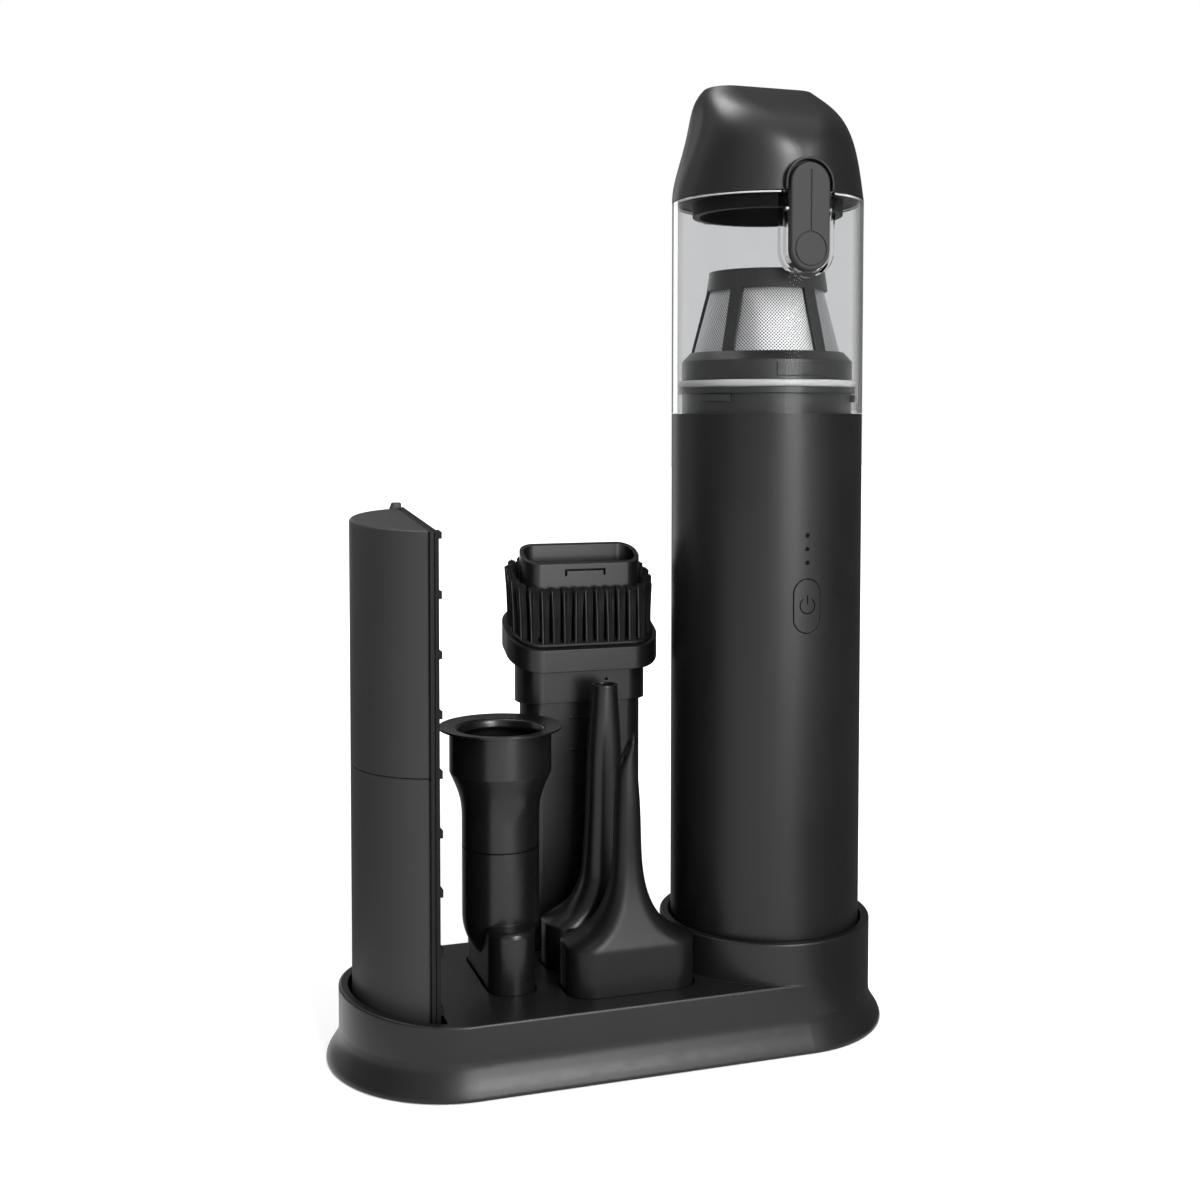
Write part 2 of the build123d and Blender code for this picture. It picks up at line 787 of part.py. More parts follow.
inlet_front_y = body_r - inlet_depth
with BuildPart() as charge_inlet:
    with BuildSketch(Plane((axis_x, inlet_front_y, inlet_z), x_dir=(1, 0, 0), z_dir=(0, 1, 0))):
        RectangleRounded(inlet_w, inlet_h, inlet_round)
    extrude(amount=inlet_depth - seat_gap)
    with BuildSketch(Plane((axis_x, inlet_front_y + overrun, inlet_z), x_dir=(1, 0, 0), z_dir=(0, 1, 0))):
        RectangleRounded(inlet_w - 2 * inlet_wall, inlet_h - 2 * inlet_wall, inlet_round - inlet_wall)
    extrude(amount=inlet_depth, mode=Mode.SUBTRACT)
charge_inlet.part.label = "charge_inlet"
export_step(charge_inlet.part, "parts/charge_inlet.step")

with BuildPart() as charge_board:
    board_high = inlet_z - inlet_h / 2
    board_back = inlet_front_y + inlet_depth / 2
    block(
        (axis_x - inlet_board_w / 2, board_back - inlet_board_d, board_high - inlet_board_t),
        (axis_x + inlet_board_w / 2, board_back, board_high),
    )
charge_board.part.label = "charge_board"
export_step(charge_board.part, "parts/charge_board.step")

motor_z = cradle_z + cradle_t
motor_top_z = motor_z + motor_h
mount_z = motor_top_z + damper_t
mount_top_z = mount_z + mount_t
board_top_z = mount_z - board_top_gap

with BuildPart() as motor_cradle:
    ring(axis_x, 0, cradle_z, motor_z, fixed_r, cradle_hole_r)
    notch_half = board_w / 2 + slip_gap
    notch_y = board_y - board_t - slip_gap
    block((axis_x - notch_half, -body_r, cradle_z), (axis_x + notch_half, -notch_y, motor_z), Mode.SUBTRACT)
motor_cradle.part.label = "motor_cradle"
export_step(motor_cradle.part, "parts/motor_cradle.step")

can_in_r = motor_r - motor_t
with BuildPart() as motor_can:
    post(axis_x, 0, motor_z, motor_top_z, motor_r)
    post(axis_x, 0, motor_z + bearing_t, motor_top_z - bearing_t, can_in_r, Mode.SUBTRACT)
    post(axis_x, 0, motor_z, motor_top_z, shaft_r + run_gap, Mode.SUBTRACT)
motor_can.part.label = "motor_can"
export_step(motor_can.part, "parts/motor_can.step")

with BuildPart() as motor_magnets:
    ring(axis_x, 0, motor_z + bearing_t, motor_top_z - bearing_t, can_in_r - run_gap, can_in_r - magnet_t)
motor_magnets.part.label = "motor_magnets"
export_step(motor_magnets.part, "parts/motor_magnets.step")

armature_z = motor_z + bearing_t + armature_margin
armature_top_z = motor_top_z - bearing_t - armature_margin
with BuildPart() as motor_armature:
    post(axis_x, 0, armature_z, armature_top_z, can_in_r - magnet_t - armature_gap)
    post(axis_x, 0, armature_z, armature_top_z, shaft_r, Mode.SUBTRACT)
motor_armature.part.label = "motor_armature"
export_step(motor_armature.part, "parts/motor_armature.step")

fan_z = mount_top_z + fan_lift
fan_top_z = fan_z + fan_h
with BuildPart() as motor_shaft:
    post(axis_x, 0, motor_z - shaft_tail, fan_top_z, shaft_r)
motor_shaft.part.label = "motor_shaft"
export_step(motor_shaft.part, "parts/motor_shaft.step")

with BuildPart() as motor_damper:
    ring(axis_x, 0, motor_top_z, mount_z, motor_r, damper_in_r)
motor_damper.part.label = "motor_damper"
export_step(motor_damper.part, "parts/motor_damper.step")

with BuildPart() as motor_mount:
    ring(axis_x, 0, mount_z, mount_top_z, fixed_r, mount_hole_r)
    with BuildSketch(Plane((axis_x, 0, mount_z))):
        with PolarLocations(vent_ring_r, exhaust_slots):
            Circle(mount_vent_r)
    extrude(amount=mount_t, mode=Mode.SUBTRACT)
motor_mount.part.label = "motor_mount"
export_step(motor_mount.part, "parts/motor_mount.step")

shroud_top_z = mount_top_z + shroud_h
with BuildPart() as fan_shroud:
    post(axis_x, 0, mount_top_z, shroud_top_z, fixed_r)
    post(axis_x, 0, mount_top_z, shroud_top_z - shroud_t, fixed_r - shroud_t, Mode.SUBTRACT)
    post(axis_x, 0, mount_top_z, shroud_top_z, shroud_eye_r, Mode.SUBTRACT)
fan_shroud.part.label = "fan_shroud"
export_step(fan_shroud.part, "parts/fan_shroud.step")

with BuildPart() as fan_impeller:
    post(axis_x, 0, fan_z, fan_z + fan_disc_t, fan_r)
    post(axis_x, 0, fan_z, fan_top_z, fan_hub_r)
    blade_in_r = (shaft_r + fan_hub_r) / 2
    blade_out_r = fan_r - fan_blade_t
    with BuildSketch(Plane((axis_x, 0, fan_z))):
        with PolarLocations((blade_in_r + blade_out_r) / 2, fan_blades):
            Rectangle(blade_out_r - blade_in_r, fan_blade_t)
    extrude(amount=fan_h)
    post(axis_x, 0, fan_z, fan_top_z, shaft_r, Mode.SUBTRACT)
fan_impeller.part.label = "fan_impeller"
export_step(fan_impeller.part, "parts/fan_impeller.step")

with BuildPart() as control_board:
    block((axis_x - board_w / 2, -board_y, board_z), (axis_x + board_w / 2, board_t - board_y, board_top_z))
control_board.part.label = "control_board"
export_step(control_board.part, "parts/control_board.step")

switch_y = -board_y - switch_t
with BuildPart() as push_switch:
    half = switch_side / 2
    block((axis_x - half, switch_y, button_z - half), (axis_x + half, -board_y, button_z + half))
push_switch.part.label = "push_switch"
export_step(push_switch.part, "parts/push_switch.step")

led_heights = [led_top_z - step * led_pitch for step in range(led_count)]
with BuildPart() as light_chips:
    for z in led_heights:
        block(
            (axis_x - chip_w / 2, -board_y - chip_t, z - chip_h / 2),
            (axis_x + chip_w / 2, -board_y, z + chip_h / 2),
        )
light_chips.part.label = "light_chips"
export_step(light_chips.part, "parts/light_chips.step")

with BuildPart() as light_pipes:
    for z in led_heights:
        rod_y(axis_x, z, -body_r, -board_y - chip_t, led_r)
        rod_y(axis_x, z, seat_gap - body_in_r, seat_gap - body_in_r + led_flange_t, led_flange_r)
light_pipes.part.label = "light_pipes"
export_step(light_pipes.part, "parts/light_pipes.step")

# Button: curved face, guide flange behind the wall and a nub for the switch
with BuildPart() as power_button:
    stadium_y(axis_x, button_z, -body_r - overrun, flange_front_y + button_flange_t, button_w, button_h)
    post(axis_x, 0, button_z - button_h, button_z + button_h, body_r + button_proud, Mode.INTERSECT)
    lip_w = button_w + 2 * button_flange
    lip_h = button_h + 2 * button_flange
    stadium_y(axis_x, button_z, flange_front_y, flange_front_y + button_flange_t, lip_w, lip_h)
    rod_y(axis_x, button_z, flange_front_y, switch_y - button_travel - seat_gap, led_flange_r)
power_button.part.label = "power_button"
export_step(power_button.part, "parts/power_button.step")

with BuildPart() as neck_collar:
    turn(
        (
            (neck_in_r, neck_z),
            (fixed_r, neck_z),
            (fixed_r, body_top_z),
            (neck_r, body_top_z),
            (neck_r, neck_ring_z),
            (neck_ring_r, neck_ring_z),
            (neck_ring_r, seal_z),
            (seal_seat_r, seal_z),
            (seal_seat_r, neck_top_z),
            (neck_hole_r, neck_top_z),
            (neck_hole_r, seal_z),
            (neck_in_r, neck_ring_z),
        ),
        axis_x,
        0,
    )
    for angle in lug_angles:
        lug = (neck_in_r, lug_z), (lug_r, lug_z), (lug_r, lug_z + lug_h), (neck_in_r, lug_z + lug_h)
        turn(lug, axis_x, 0, angle, lug_deg)
neck_collar.part.label = "neck_collar"
export_step(neck_collar.part, "parts/neck_collar.step")

with BuildPart() as seal_ring:
    ring(axis_x, 0, seal_z, neck_top_z, seal_r, seal_seat_r + run_gap)
seal_ring.part.label = "seal_ring"
export_step(seal_ring.part, "parts/seal_ring.step")

# Filter that lifts off the neck
tab_deg = 2 * degrees(asin(tab_w / 2 / filter_base_r))
with BuildPart() as filter_frame:
    turn(
        (
            (filter_bore_r, neck_top_z),
            (filter_base_r, neck_top_z),
            (filter_base_r, filter_base_z),
            (filter_foot_r, filter_chamfer_z),
            (filter_bore_r, filter_chamfer_z),
        ),
        axis_x,
        0,
    )
    band_in_r = filter_band_r - rib_t - mesh_t - run_gap
    turn(
        (
            (0, filter_top_z - filter_lid_t),
            (band_in_r, filter_top_z - filter_lid_t),
            (band_in_r, filter_band_z),
            (filter_band_r, filter_band_z),
            (filter_top_r, filter_top_z),
            (0, filter_top_z),
        ),
        axis_x,
        0,
    )
    for step in range(rib_count):
        with BuildSketch(upright(axis_x, 0, 360 * step / rib_count)):
            with BuildLine():
                Polyline(
                    (filter_foot_r - rib_t, filter_chamfer_z),
                    (filter_foot_r, filter_chamfer_z),
                    (filter_band_r, filter_band_z),
                    (filter_band_r - rib_t, filter_band_z),
                    close=True,
                )
            make_face()
        extrude(amount=rib_w / 2, both=True)
    tab_low = neck_top_z + tab_drop
    tab_high = filter_base_z - tab_drop
    tab_in = filter_base_r - tab_proud
    tab_out = filter_base_r + tab_proud
    tab = (tab_in, tab_low), (tab_out, tab_low), (tab_out, tab_high), (tab_in, tab_high)
    turn(tab, axis_x, 0, -90 - tab_deg / 2, tab_deg)
filter_frame.part.label = "filter_frame"
export_step(filter_frame.part, "parts/filter_frame.step")

with BuildPart() as filter_mesh:
    # cone just inside the ribs
    mesh_low_r = filter_foot_r - rib_t - run_gap
    mesh_high_r = filter_band_r - rib_t - run_gap
    turn(
        (
            (mesh_low_r - mesh_t, filter_chamfer_z),
            (mesh_low_r, filter_chamfer_z),
            (mesh_high_r, filter_band_z),
            (mesh_high_r - mesh_t, filter_band_z),
        ),
        axis_x,
        0,
    )
filter_mesh.part.label = "filter_mesh"
export_step(filter_mesh.part, "parts/filter_mesh.step")

with BuildPart() as inner_filter:
    core_points = []
    for step in range(core_pleats):
        for part_turn, radius in ((0, core_r), (0.5, core_valley_r)):
            angle = radians(360 * (step + part_turn) / core_pleats)
            core_points.append((radius * cos(angle), radius * sin(angle)))
    post(axis_x, 0, neck_top_z, neck_top_z + core_flange_t, core_flange_r)
    with BuildSketch(Plane((axis_x, 0, neck_top_z))):
        with BuildLine():
            Polyline(*core_points, close=True)
        make_face()
    extrude(amount=filter_band_z - core_top_gap - neck_top_z)
inner_filter.part.label = "inner_filter"
export_step(inner_filter.part, "parts/inner_filter.step")

# Clear dust cup with the latch's pocket in front and hinge knuckles at the back
cradle_half = latch_w / 2 + cradle_gap
cradle_mid_z = latch_z + latch_w / 2
pin_half = cradle_half + cradle_wall / 2
knuckle_in = hinge_mid_w / 2 + slip_gap
hinge_spans = [(-hinge_out_w / 2, -knuckle_in), (knuckle_in, hinge_out_w / 2)]
with BuildPart() as dust_cup:
    post(axis_x, 0, cup_z, cup_top_z, body_r)
    post(axis_x, 0, cup_z, cup_top_z, cup_in_r, Mode.SUBTRACT)
    cradle_back_y = cradle_floor_y + cradle_wall
    arch_y(axis_x, cup_top_z, cradle_mid_z, cradle_front_y, cradle_back_y, cradle_half + cradle_wall)
    arch_y(axis_x, cup_top_z, cradle_mid_z, -body_r - overrun, cradle_floor_y, cradle_half, Mode.SUBTRACT)
    for angle in lug_angles:
        catch = (catch_r, catch_z), (body_r - run_gap, catch_z)
        catch += (body_r - run_gap, catch_z + lug_h), (catch_r, catch_z + lug_h)
        turn(catch, axis_x, 0, angle, lug_deg)
    for left, right in hinge_spans:
        block(
            (axis_x + left, hinge_root_y, cup_top_z - hinge_arm_t),
            (axis_x + right, hinge_y, cup_top_z),
        )
        rod_x(hinge_y, hinge_z, left, right, hinge_r)
    rod_x(hinge_y, hinge_z, -hinge_out_w, hinge_out_w, hinge_pin_r, Mode.SUBTRACT)
    rod_x(latch_pin_y, latch_pin_z, -pin_half, pin_half, latch_pin_r, Mode.SUBTRACT)
dust_cup.part.label = "dust_cup"
export_step(dust_cup.part, "parts/dust_cup.step")

with BuildPart() as hinge_pin:
    rod_x(hinge_y, hinge_z, -hinge_out_w / 2, hinge_out_w / 2, hinge_pin_r)
hinge_pin.part.label = "hinge_pin"
export_step(hinge_pin.part, "parts/hinge_pin.step")

with BuildPart() as latch_pin:
    rod_x(latch_pin_y, latch_pin_z, -pin_half, pin_half, latch_pin_r)
latch_pin.part.label = "latch_pin"
export_step(latch_pin.part, "parts/latch_pin.step")

latch_back_y = latch_y + latch_t
latch_mid_z = (latch_z + latch_top_z) / 2
with BuildPart() as latch_lever:
    stadium_y(axis_x, latch_mid_z, latch_y, latch_back_y, latch_w, latch_top_z - latch_z)
    fillet(latch_lever.edges().filter_by_position(Axis.Y, latch_y, latch_y), latch_round)
    rod_x(latch_pin_y, latch_pin_z, -latch_boss_w / 2, latch_boss_w / 2, latch_boss_r)
    rod_x(latch_pin_y, latch_pin_z, -latch_w, latch_w, latch_pin_r + run_gap, Mode.SUBTRACT)
    # round finger pad with a rim line, and the groove above it
    sunk_y = latch_y + pad_sink
    rod_y(axis_x, cradle_mid_z, latch_y - overrun, sunk_y, pad_r, Mode.SUBTRACT)
    rod_y(axis_x, cradle_mid_z, latch_y, sunk_y, pad_r - pad_rim)
    block(
        (axis_x - groove_w / 2, latch_y - overrun, cradle_mid_z + pad_r - pad_rim / 2),
        (axis_x + groove_w / 2, sunk_y, latch_top_z - groove_drop),
        Mode.SUBTRACT,
    )
latch_lever.part.label = "latch_lever"
export_step(latch_lever.part, "parts/latch_lever.step")

cap_wide = (cap_z, 2 * body_r, 2 * body_r, body_r - run_gap, 0, 0)
cap_narrow = (cap_top_z, mouth_w, mouth_d, mouth_r, 0, mouth_y)
arch_half = latch_w / 2 + arch_gap
arch_mid_z = latch_top_z - latch_w / 2
arch_floor_y = latch_back_y + slip_gap
arch_back_y = arch_floor_y + cap_wall
with BuildPart() as nozzle_cap:
    rise(cap_wide, cap_narrow, cap_shares, axis_x, 0)
    arch_y(axis_x, cap_z, arch_mid_z, arch_front_y, arch_floor_y, arch_half + arch_rim)
    rise(cap_wide, cap_narrow, cap_shares, axis_x, 0, cap_wall, mode=Mode.SUBTRACT)
    arch_y(axis_x, cap_z, arch_mid_z, arch_floor_y, arch_back_y, arch_half + arch_rim)
    out_y = -body_r - 2 * overrun
    arch_y(axis_x, cap_z - overrun, arch_mid_z, out_y, arch_floor_y, arch_half, Mode.SUBTRACT)
    block(
        (axis_x - hinge_mid_w / 2, hinge_root_y, cap_z),
        (axis_x + hinge_mid_w / 2, hinge_y, cap_z + hinge_arm_t),
    )
    rod_x(hinge_y, hinge_z, -hinge_mid_w / 2, hinge_mid_w / 2, hinge_r)
    rod_x(hinge_y, hinge_z, -hinge_mid_w, hinge_mid_w, hinge_pin_r + run_gap, Mode.SUBTRACT)
nozzle_cap.part.label = "nozzle_cap"
export_step(nozzle_cap.part, "parts/nozzle_cap.step")

# Lip that hangs into the cup from a flange seated in the cap, open behind the latch
flange_low_z = cap_z + slip_gap
flange_high_z = flange_low_z + gasket_t
with BuildPart() as cap_gasket:
    ring(axis_x, 0, gasket_z, flange_high_z, gasket_r, gasket_in_r)
    ring(axis_x, 0, flange_low_z, flange_high_z, cup_in_r - gasket_gap, gasket_in_r)
    notch_half = arch_half + arch_rim + slip_gap
    block(
        (axis_x - notch_half, -body_r, flange_low_z - overrun),
        (axis_x + notch_half, arch_back_y + slip_gap, flange_high_z + overrun),
        Mode.SUBTRACT,
    )
cap_gasket.part.label = "cap_gasket"
export_step(cap_gasket.part, "parts/cap_gasket.step")


def plug(x, y, top, width, depth, mode=Mode.ADD):
    """Plug below a tool's collar."""
    prism(x, y, top - plug_length, top, width, depth, plug_r, mode)


def funnel(x, y, low, high, tip_r):
    """Cut a bore that narrows from a tool's collar to its tip."""
    start_z = low - 2 * tool_wall
    throat_z = low + (high - low) * funnel_share
    end_z = high + overrun
    outline = (0, start_z), (bore_d / 2 - seat_gap, start_z), (tip_r, throat_z), (tip_r, end_z), (0, end_z)
    turn(outline, x, y, mode=Mode.SUBTRACT)


# Oblique nozzle: flared collar, tapering column and a slanted mouth
oblique_wide = (oblique_shoulder_z, oblique_w, oblique_d, oblique_r, 0, 0)
oblique_narrow = (oblique_top_z, oblique_tip_w, oblique_tip_w, oblique_tip_w / 2 - seat_gap, 0, 0)
bore_w = plug_w - 2 * tool_wall
bore_d = plug_d - 2 * tool_wall
bore_r = plug_r - tool_wall
with BuildPart() as oblique_nozzle:
    rise(oblique_wide, oblique_narrow, finer(finer(oblique_shares)), oblique_x, oblique_y, ruled=True)
    prism(oblique_x, oblique_y, collar_z, oblique_shoulder_z, oblique_w, oblique_d, oblique_r)
    plug(oblique_x, oblique_y, collar_z, plug_w, plug_d)
    prism(oblique_x, oblique_y, plug_z, oblique_shoulder_z - tool_wall, bore_w, bore_d, bore_r, Mode.SUBTRACT)
    tip_bore_r = (oblique_tip_w - tool_wall) / 2
    funnel(oblique_x, oblique_y, oblique_shoulder_z, oblique_top_z, tip_bore_r)
    with BuildSketch(Plane((0, oblique_y, 0), x_dir=(1, 0, 0), z_dir=(0, -1, 0))):
        with BuildLine():
            Polyline(
                (oblique_x - oblique_tip_w, oblique_top_z - oblique_lip_drop - oblique_tip_w),
                (oblique_x + oblique_tip_w / 2, oblique_top_z),
                (oblique_x - oblique_tip_w, oblique_top_z),
                close=True,
            )
        make_face()
    extrude(amount=oblique_d, both=True, mode=Mode.SUBTRACT)
oblique_nozzle.part.label = "oblique_nozzle"
export_step(oblique_nozzle.part, "parts/oblique_nozzle.step")

# Blower nozzle: flared collar and a round open tip
blower_wide = (blower_shoulder_z, blower_w, blower_d, blower_r, 0, 0)
blower_narrow = (blower_top_z, blower_tip_w, blower_tip_w, blower_tip_w / 2 - seat_gap, blower_column_x, 0)
with BuildPart() as blower_nozzle:
    rise(blower_wide, blower_narrow, finer(finer(blower_shares)), blower_x, blower_y, ruled=True)
    prism(blower_x, blower_y, collar_z, blower_shoulder_z, blower_w, blower_d, blower_r)
    plug(blower_x, blower_y, collar_z, plug_w, plug_d)
    prism(blower_x, blower_y, plug_z, blower_shoulder_z - tool_wall, bore_w, bore_d, bore_r, Mode.SUBTRACT)
    tip_bore_r = blower_tip_w / 2 - blower_tip_wall
    funnel(blower_x + blower_column_x, blower_y, blower_shoulder_z, blower_top_z, tip_bore_r)
blower_nozzle.part.label = "blower_nozzle"
export_step(blower_nozzle.part, "parts/blower_nozzle.step")

# Flange nozzle: upper drum with the flange, lower column with the connector
waist_in_r = flange_waist_r - tool_wall
spigot_r = waist_in_r
spigot_in_r = spigot_r - flange_spigot_t
with BuildPart() as flange_nozzle_upper:
    rim_low_z = flange_top_z - flange_rim_t
    rim_mid_z = flange_top_z - flange_rim_t / 2
    spigot_low_z = flange_seam_z - flange_spigot_length
    with BuildSketch(upright(flange_x, flange_y)):
        with BuildLine():
            Bezier(
                (flange_drum_r, flange_drum_z),
                (flange_drum_r - flange_bend_in, flange_drum_z - flange_bend_drop),
                (flange_waist_r, flange_waist_z + flange_bend_rise),
                (flange_waist_r, flange_waist_z),
            )
            Polyline(
                (flange_waist_r, flange_waist_z),
                (flange_waist_r, flange_seam_z),
                (spigot_r - run_gap, flange_seam_z),
                (spigot_r - run_gap, spigot_low_z),
                (spigot_in_r, spigot_low_z),
                (spigot_in_r, flange_waist_z),
                (flange_hole_r, flange_drum_z),
                (flange_hole_r, rim_mid_z),
                (flange_rim_r, flange_top_z),
                (flange_rim_r, rim_mid_z),
                (flange_drum_r, rim_low_z),
                (flange_drum_r, flange_drum_z),
            )
        make_face()
    revolve(axis=Axis((flange_x, flange_y, 0), (0, 0, 1)))
flange_nozzle_upper.part.label = "flange_nozzle_upper"
export_step(flange_nozzle_upper.part, "parts/flange_nozzle_upper.step")

with BuildPart() as flange_nozzle_lower:
    prism(flange_x, flange_y, collar_z, flange_shoulder_z, flange_w, flange_d, flange_corner_r)
    top_edges = flange_nozzle_lower.edges().filter_by_position(Axis.Z, flange_shoulder_z, flange_shoulder_z)
    fillet(top_edges, flange_round)
    cone_r = flange_w / 2 - seat_gap
    with BuildSketch(upright(flange_x, flange_y)):
        with BuildLine():
            Bezier(
                (cone_r, flange_cone_bottom_z),
                (flange_waist_r, flange_bulge_z),
                (flange_waist_r, flange_cone_z),
            )
            Polyline(
                (flange_waist_r, flange_cone_z),
                (flange_waist_r, flange_seam_z),
                (0, flange_seam_z),
                (0, flange_cone_bottom_z),
                (cone_r, flange_cone_bottom_z),
            )
        make_face()
    revolve(axis=Axis((flange_x, flange_y, 0), (0, 0, 1)))
    plug(flange_x, flange_y, collar_z, plug_d, plug_w)
    neck_bore_r = plug_d / 2 - tool_wall
    turn(
        (
            (0, plug_z),
            (neck_bore_r, plug_z),
            (neck_bore_r, flange_bulge_z),
            (waist_in_r, flange_cone_z + tool_wall),
            (waist_in_r, flange_seam_z),
            (0, flange_seam_z),
        ),
        flange_x,
        flange_y,
        mode=Mode.SUBTRACT,
    )
    bore_w = plug_d - 2 * tool_wall
    bore_d = plug_w - 2 * tool_wall
    bore_top = flange_shoulder_z - 2 * tool_wall
    prism(flange_x, flange_y, plug_z, bore_top, bore_w, bore_d, plug_r - tool_wall, Mode.SUBTRACT)
flange_nozzle_lower.part.label = "flange_nozzle_lower"
export_step(flange_nozzle_lower.part, "parts/flange_nozzle_lower.step")


def slanted(y, z):
    """Plane of the brush's slant through a front edge at (y, z)."""
    lean = radians(slant_deg)
    return Plane((brush_x, y, z), x_dir=(1, 0, 0), z_dir=(0, -sin(lean), cos(lean)))


# Brush tool: flat tube with a slanted mouth
tube_front_y = brush_y - tube_d / 2
tube_high_z = mouth_front_z + tube_d
with BuildPart() as brush_tube:
    prism(brush_x, brush_y, collar_z, tube_high_z, tube_w, tube_d, tube_r)
    split(bisect_by=slanted(tube_front_y, mouth_front_z), keep=Keep.BOTTOM)
    plug(brush_x, brush_y, collar_z, plug_w, plug_d)
    tube_in_r = tube_r - tube_t
    bores = (plug_z, plug_w, plug_d), (collar_z + 2 * tube_t, tube_w, tube_d)
    for low, width, depth in bores:
        bore_w = width - 2 * tube_t
        bore_d = depth - 2 * tube_t
        prism(brush_x, brush_y, low, tube_high_z, bore_w, bore_d, tube_in_r, Mode.SUBTRACT)
    for step in range(detent_count):
        z = detent_top_z - step * detent_pitch
        block(
            (brush_x - detent_w / 2, tube_front_y - detent_proud, z - detent_t / 2),
            (brush_x + detent_w / 2, tube_front_y + detent_proud, z + detent_t / 2),
        )
    slot_z = mouth_front_z - slot_drop
    slot_cuts = [(-slot_w / 2, slot_w / 2, slot_z, slot_z + slot_t)]
    for side in (-1, 1):
        edge_x = side * (slot_w - slot_t) / 2
        slot_cuts.append((edge_x - slot_t / 2, edge_x + slot_t / 2, slot_z - slot_leg, slot_z))
    for left, right, low, high in slot_cuts:
        block(
            (brush_x + left, tube_front_y - overrun, low),
            (brush_x + right, tube_front_y + tube_t + slip_gap, high),
            Mode.SUBTRACT,
        )
brush_tube.part.label = "brush_tube"
export_step(brush_tube.part, "parts/brush_tube.step")

# Sliding collar on the tube, with a slice of backing for the bristles
collar_front_y = brush_y - brush_collar_d / 2
slope = sin(radians(slant_deg)) / cos(radians(slant_deg))
collar_high_z = brush_collar_z + brush_collar_t + slope * brush_collar_d + bristle_length + overrun
bore_w = tube_w + 2 * slip_gap
bore_d = tube_d + 2 * (slip_gap + detent_proud)
bore_r = tube_r + slip_gap
sleeve_split_z = brush_collar_z + brush_collar_t
with BuildPart() as brush_carrier:
    prism(brush_x, brush_y, brush_collar_z, collar_high_z, brush_collar_w, brush_collar_d, brush_collar_r)
    split(bisect_by=slanted(collar_front_y, brush_collar_z), keep=Keep.TOP)
    split(bisect_by=slanted(collar_front_y, sleeve_split_z), keep=Keep.BOTTOM)
    prism(brush_x, brush_y, sleeve_z, sleeve_split_z, sleeve_w, sleeve_d, sleeve_r)
    prism(brush_x, brush_y, sleeve_z, collar_high_z, bore_w, bore_d, bore_r, Mode.SUBTRACT)
    rod_y(brush_x + dot_x, dot_z, collar_front_y, brush_y, dot_r, Mode.SUBTRACT)
brush_carrier.part.label = "brush_carrier"
export_step(brush_carrier.part, "parts/brush_carrier.step")

with BuildPart() as brush_backing:
    with BuildSketch(Plane((brush_x, brush_y, brush_collar_z))):
        inset = 2 * backing_inset
        RectangleRounded(brush_collar_w - inset, brush_collar_d - inset, brush_collar_r - backing_inset)
        RectangleRounded(bore_w + inset / 2, bore_d + inset / 2, bore_r, mode=Mode.SUBTRACT)
    extrude(amount=collar_high_z - brush_collar_z)
    split(bisect_by=slanted(collar_front_y, sleeve_split_z), keep=Keep.TOP)
    split(bisect_by=slanted(collar_front_y, sleeve_split_z + backing_t), keep=Keep.BOTTOM)

# Tufts stand on a line midway between the tube and the collar's edge
line_w = (brush_collar_w + bore_w) / 2 - backing_inset / 2
line_d = (brush_collar_d + bore_d) / 2 - backing_inset / 2
with BuildSketch() as tuft_line:
    RectangleRounded(line_w, line_d, (brush_collar_r + bore_r) / 2)
tuft_wire = tuft_line.sketch.faces()[0].outer_wire()
tuft_count = int(tuft_wire.length / tuft_pitch)
strand_places = []
for step in range(tuft_count):
    spot = tuft_wire.position_at(step / tuft_count)
    for ring_r, ring_count in ((tuft_core_r, 3), (tuft_ring_r, 9)):
        for place in range(ring_count):
            angle = radians(360 * (place + step / 2) / ring_count)
            strand_places.append((spot.X + ring_r * cos(angle), spot.Y + ring_r * sin(angle)))

with BuildPart() as brush_bristles:
    with BuildSketch(Plane((brush_x, brush_y, brush_collar_z))):
        with Locations(*strand_places):
            RegularPolygon(bristle_side / 2, 3)
    extrude(amount=collar_high_z - brush_collar_z)
    split(bisect_by=slanted(collar_front_y, sleeve_split_z + backing_t / 2), keep=Keep.TOP)
    split(bisect_by=slanted(collar_front_y, sleeve_split_z + bristle_length), keep=Keep.BOTTOM)
    add(brush_backing.part)
brush_bristles.part.label = "brush_bristles"
export_step(brush_bristles.part, "parts/brush_bristles.step")


def head_top():
    """Slanted plane of the floor head's upper end."""
    rise_by = sqrt(1 + head_top_slope**2)
    return Plane((head_x, 0, head_top_z), x_dir=(1, 0, 0), z_dir=(0, -head_top_slope / rise_by, 1 / rise_by))


def half_round(low, high, radius, chord, mode=Mode.ADD):
    """Upright half-round bar: the part of a circle to the left of a chord."""
    reach = 2 * head_r
    with BuildSketch(Plane((head_x, 0, low))) as outline:
        Circle(radius)
        with Locations((chord - head_x - reach / 2, 0)):
            Rectangle(reach, reach, mode=Mode.INTERSECT)
    extrude(outline.sketch, amount=high - low, mode=mode)


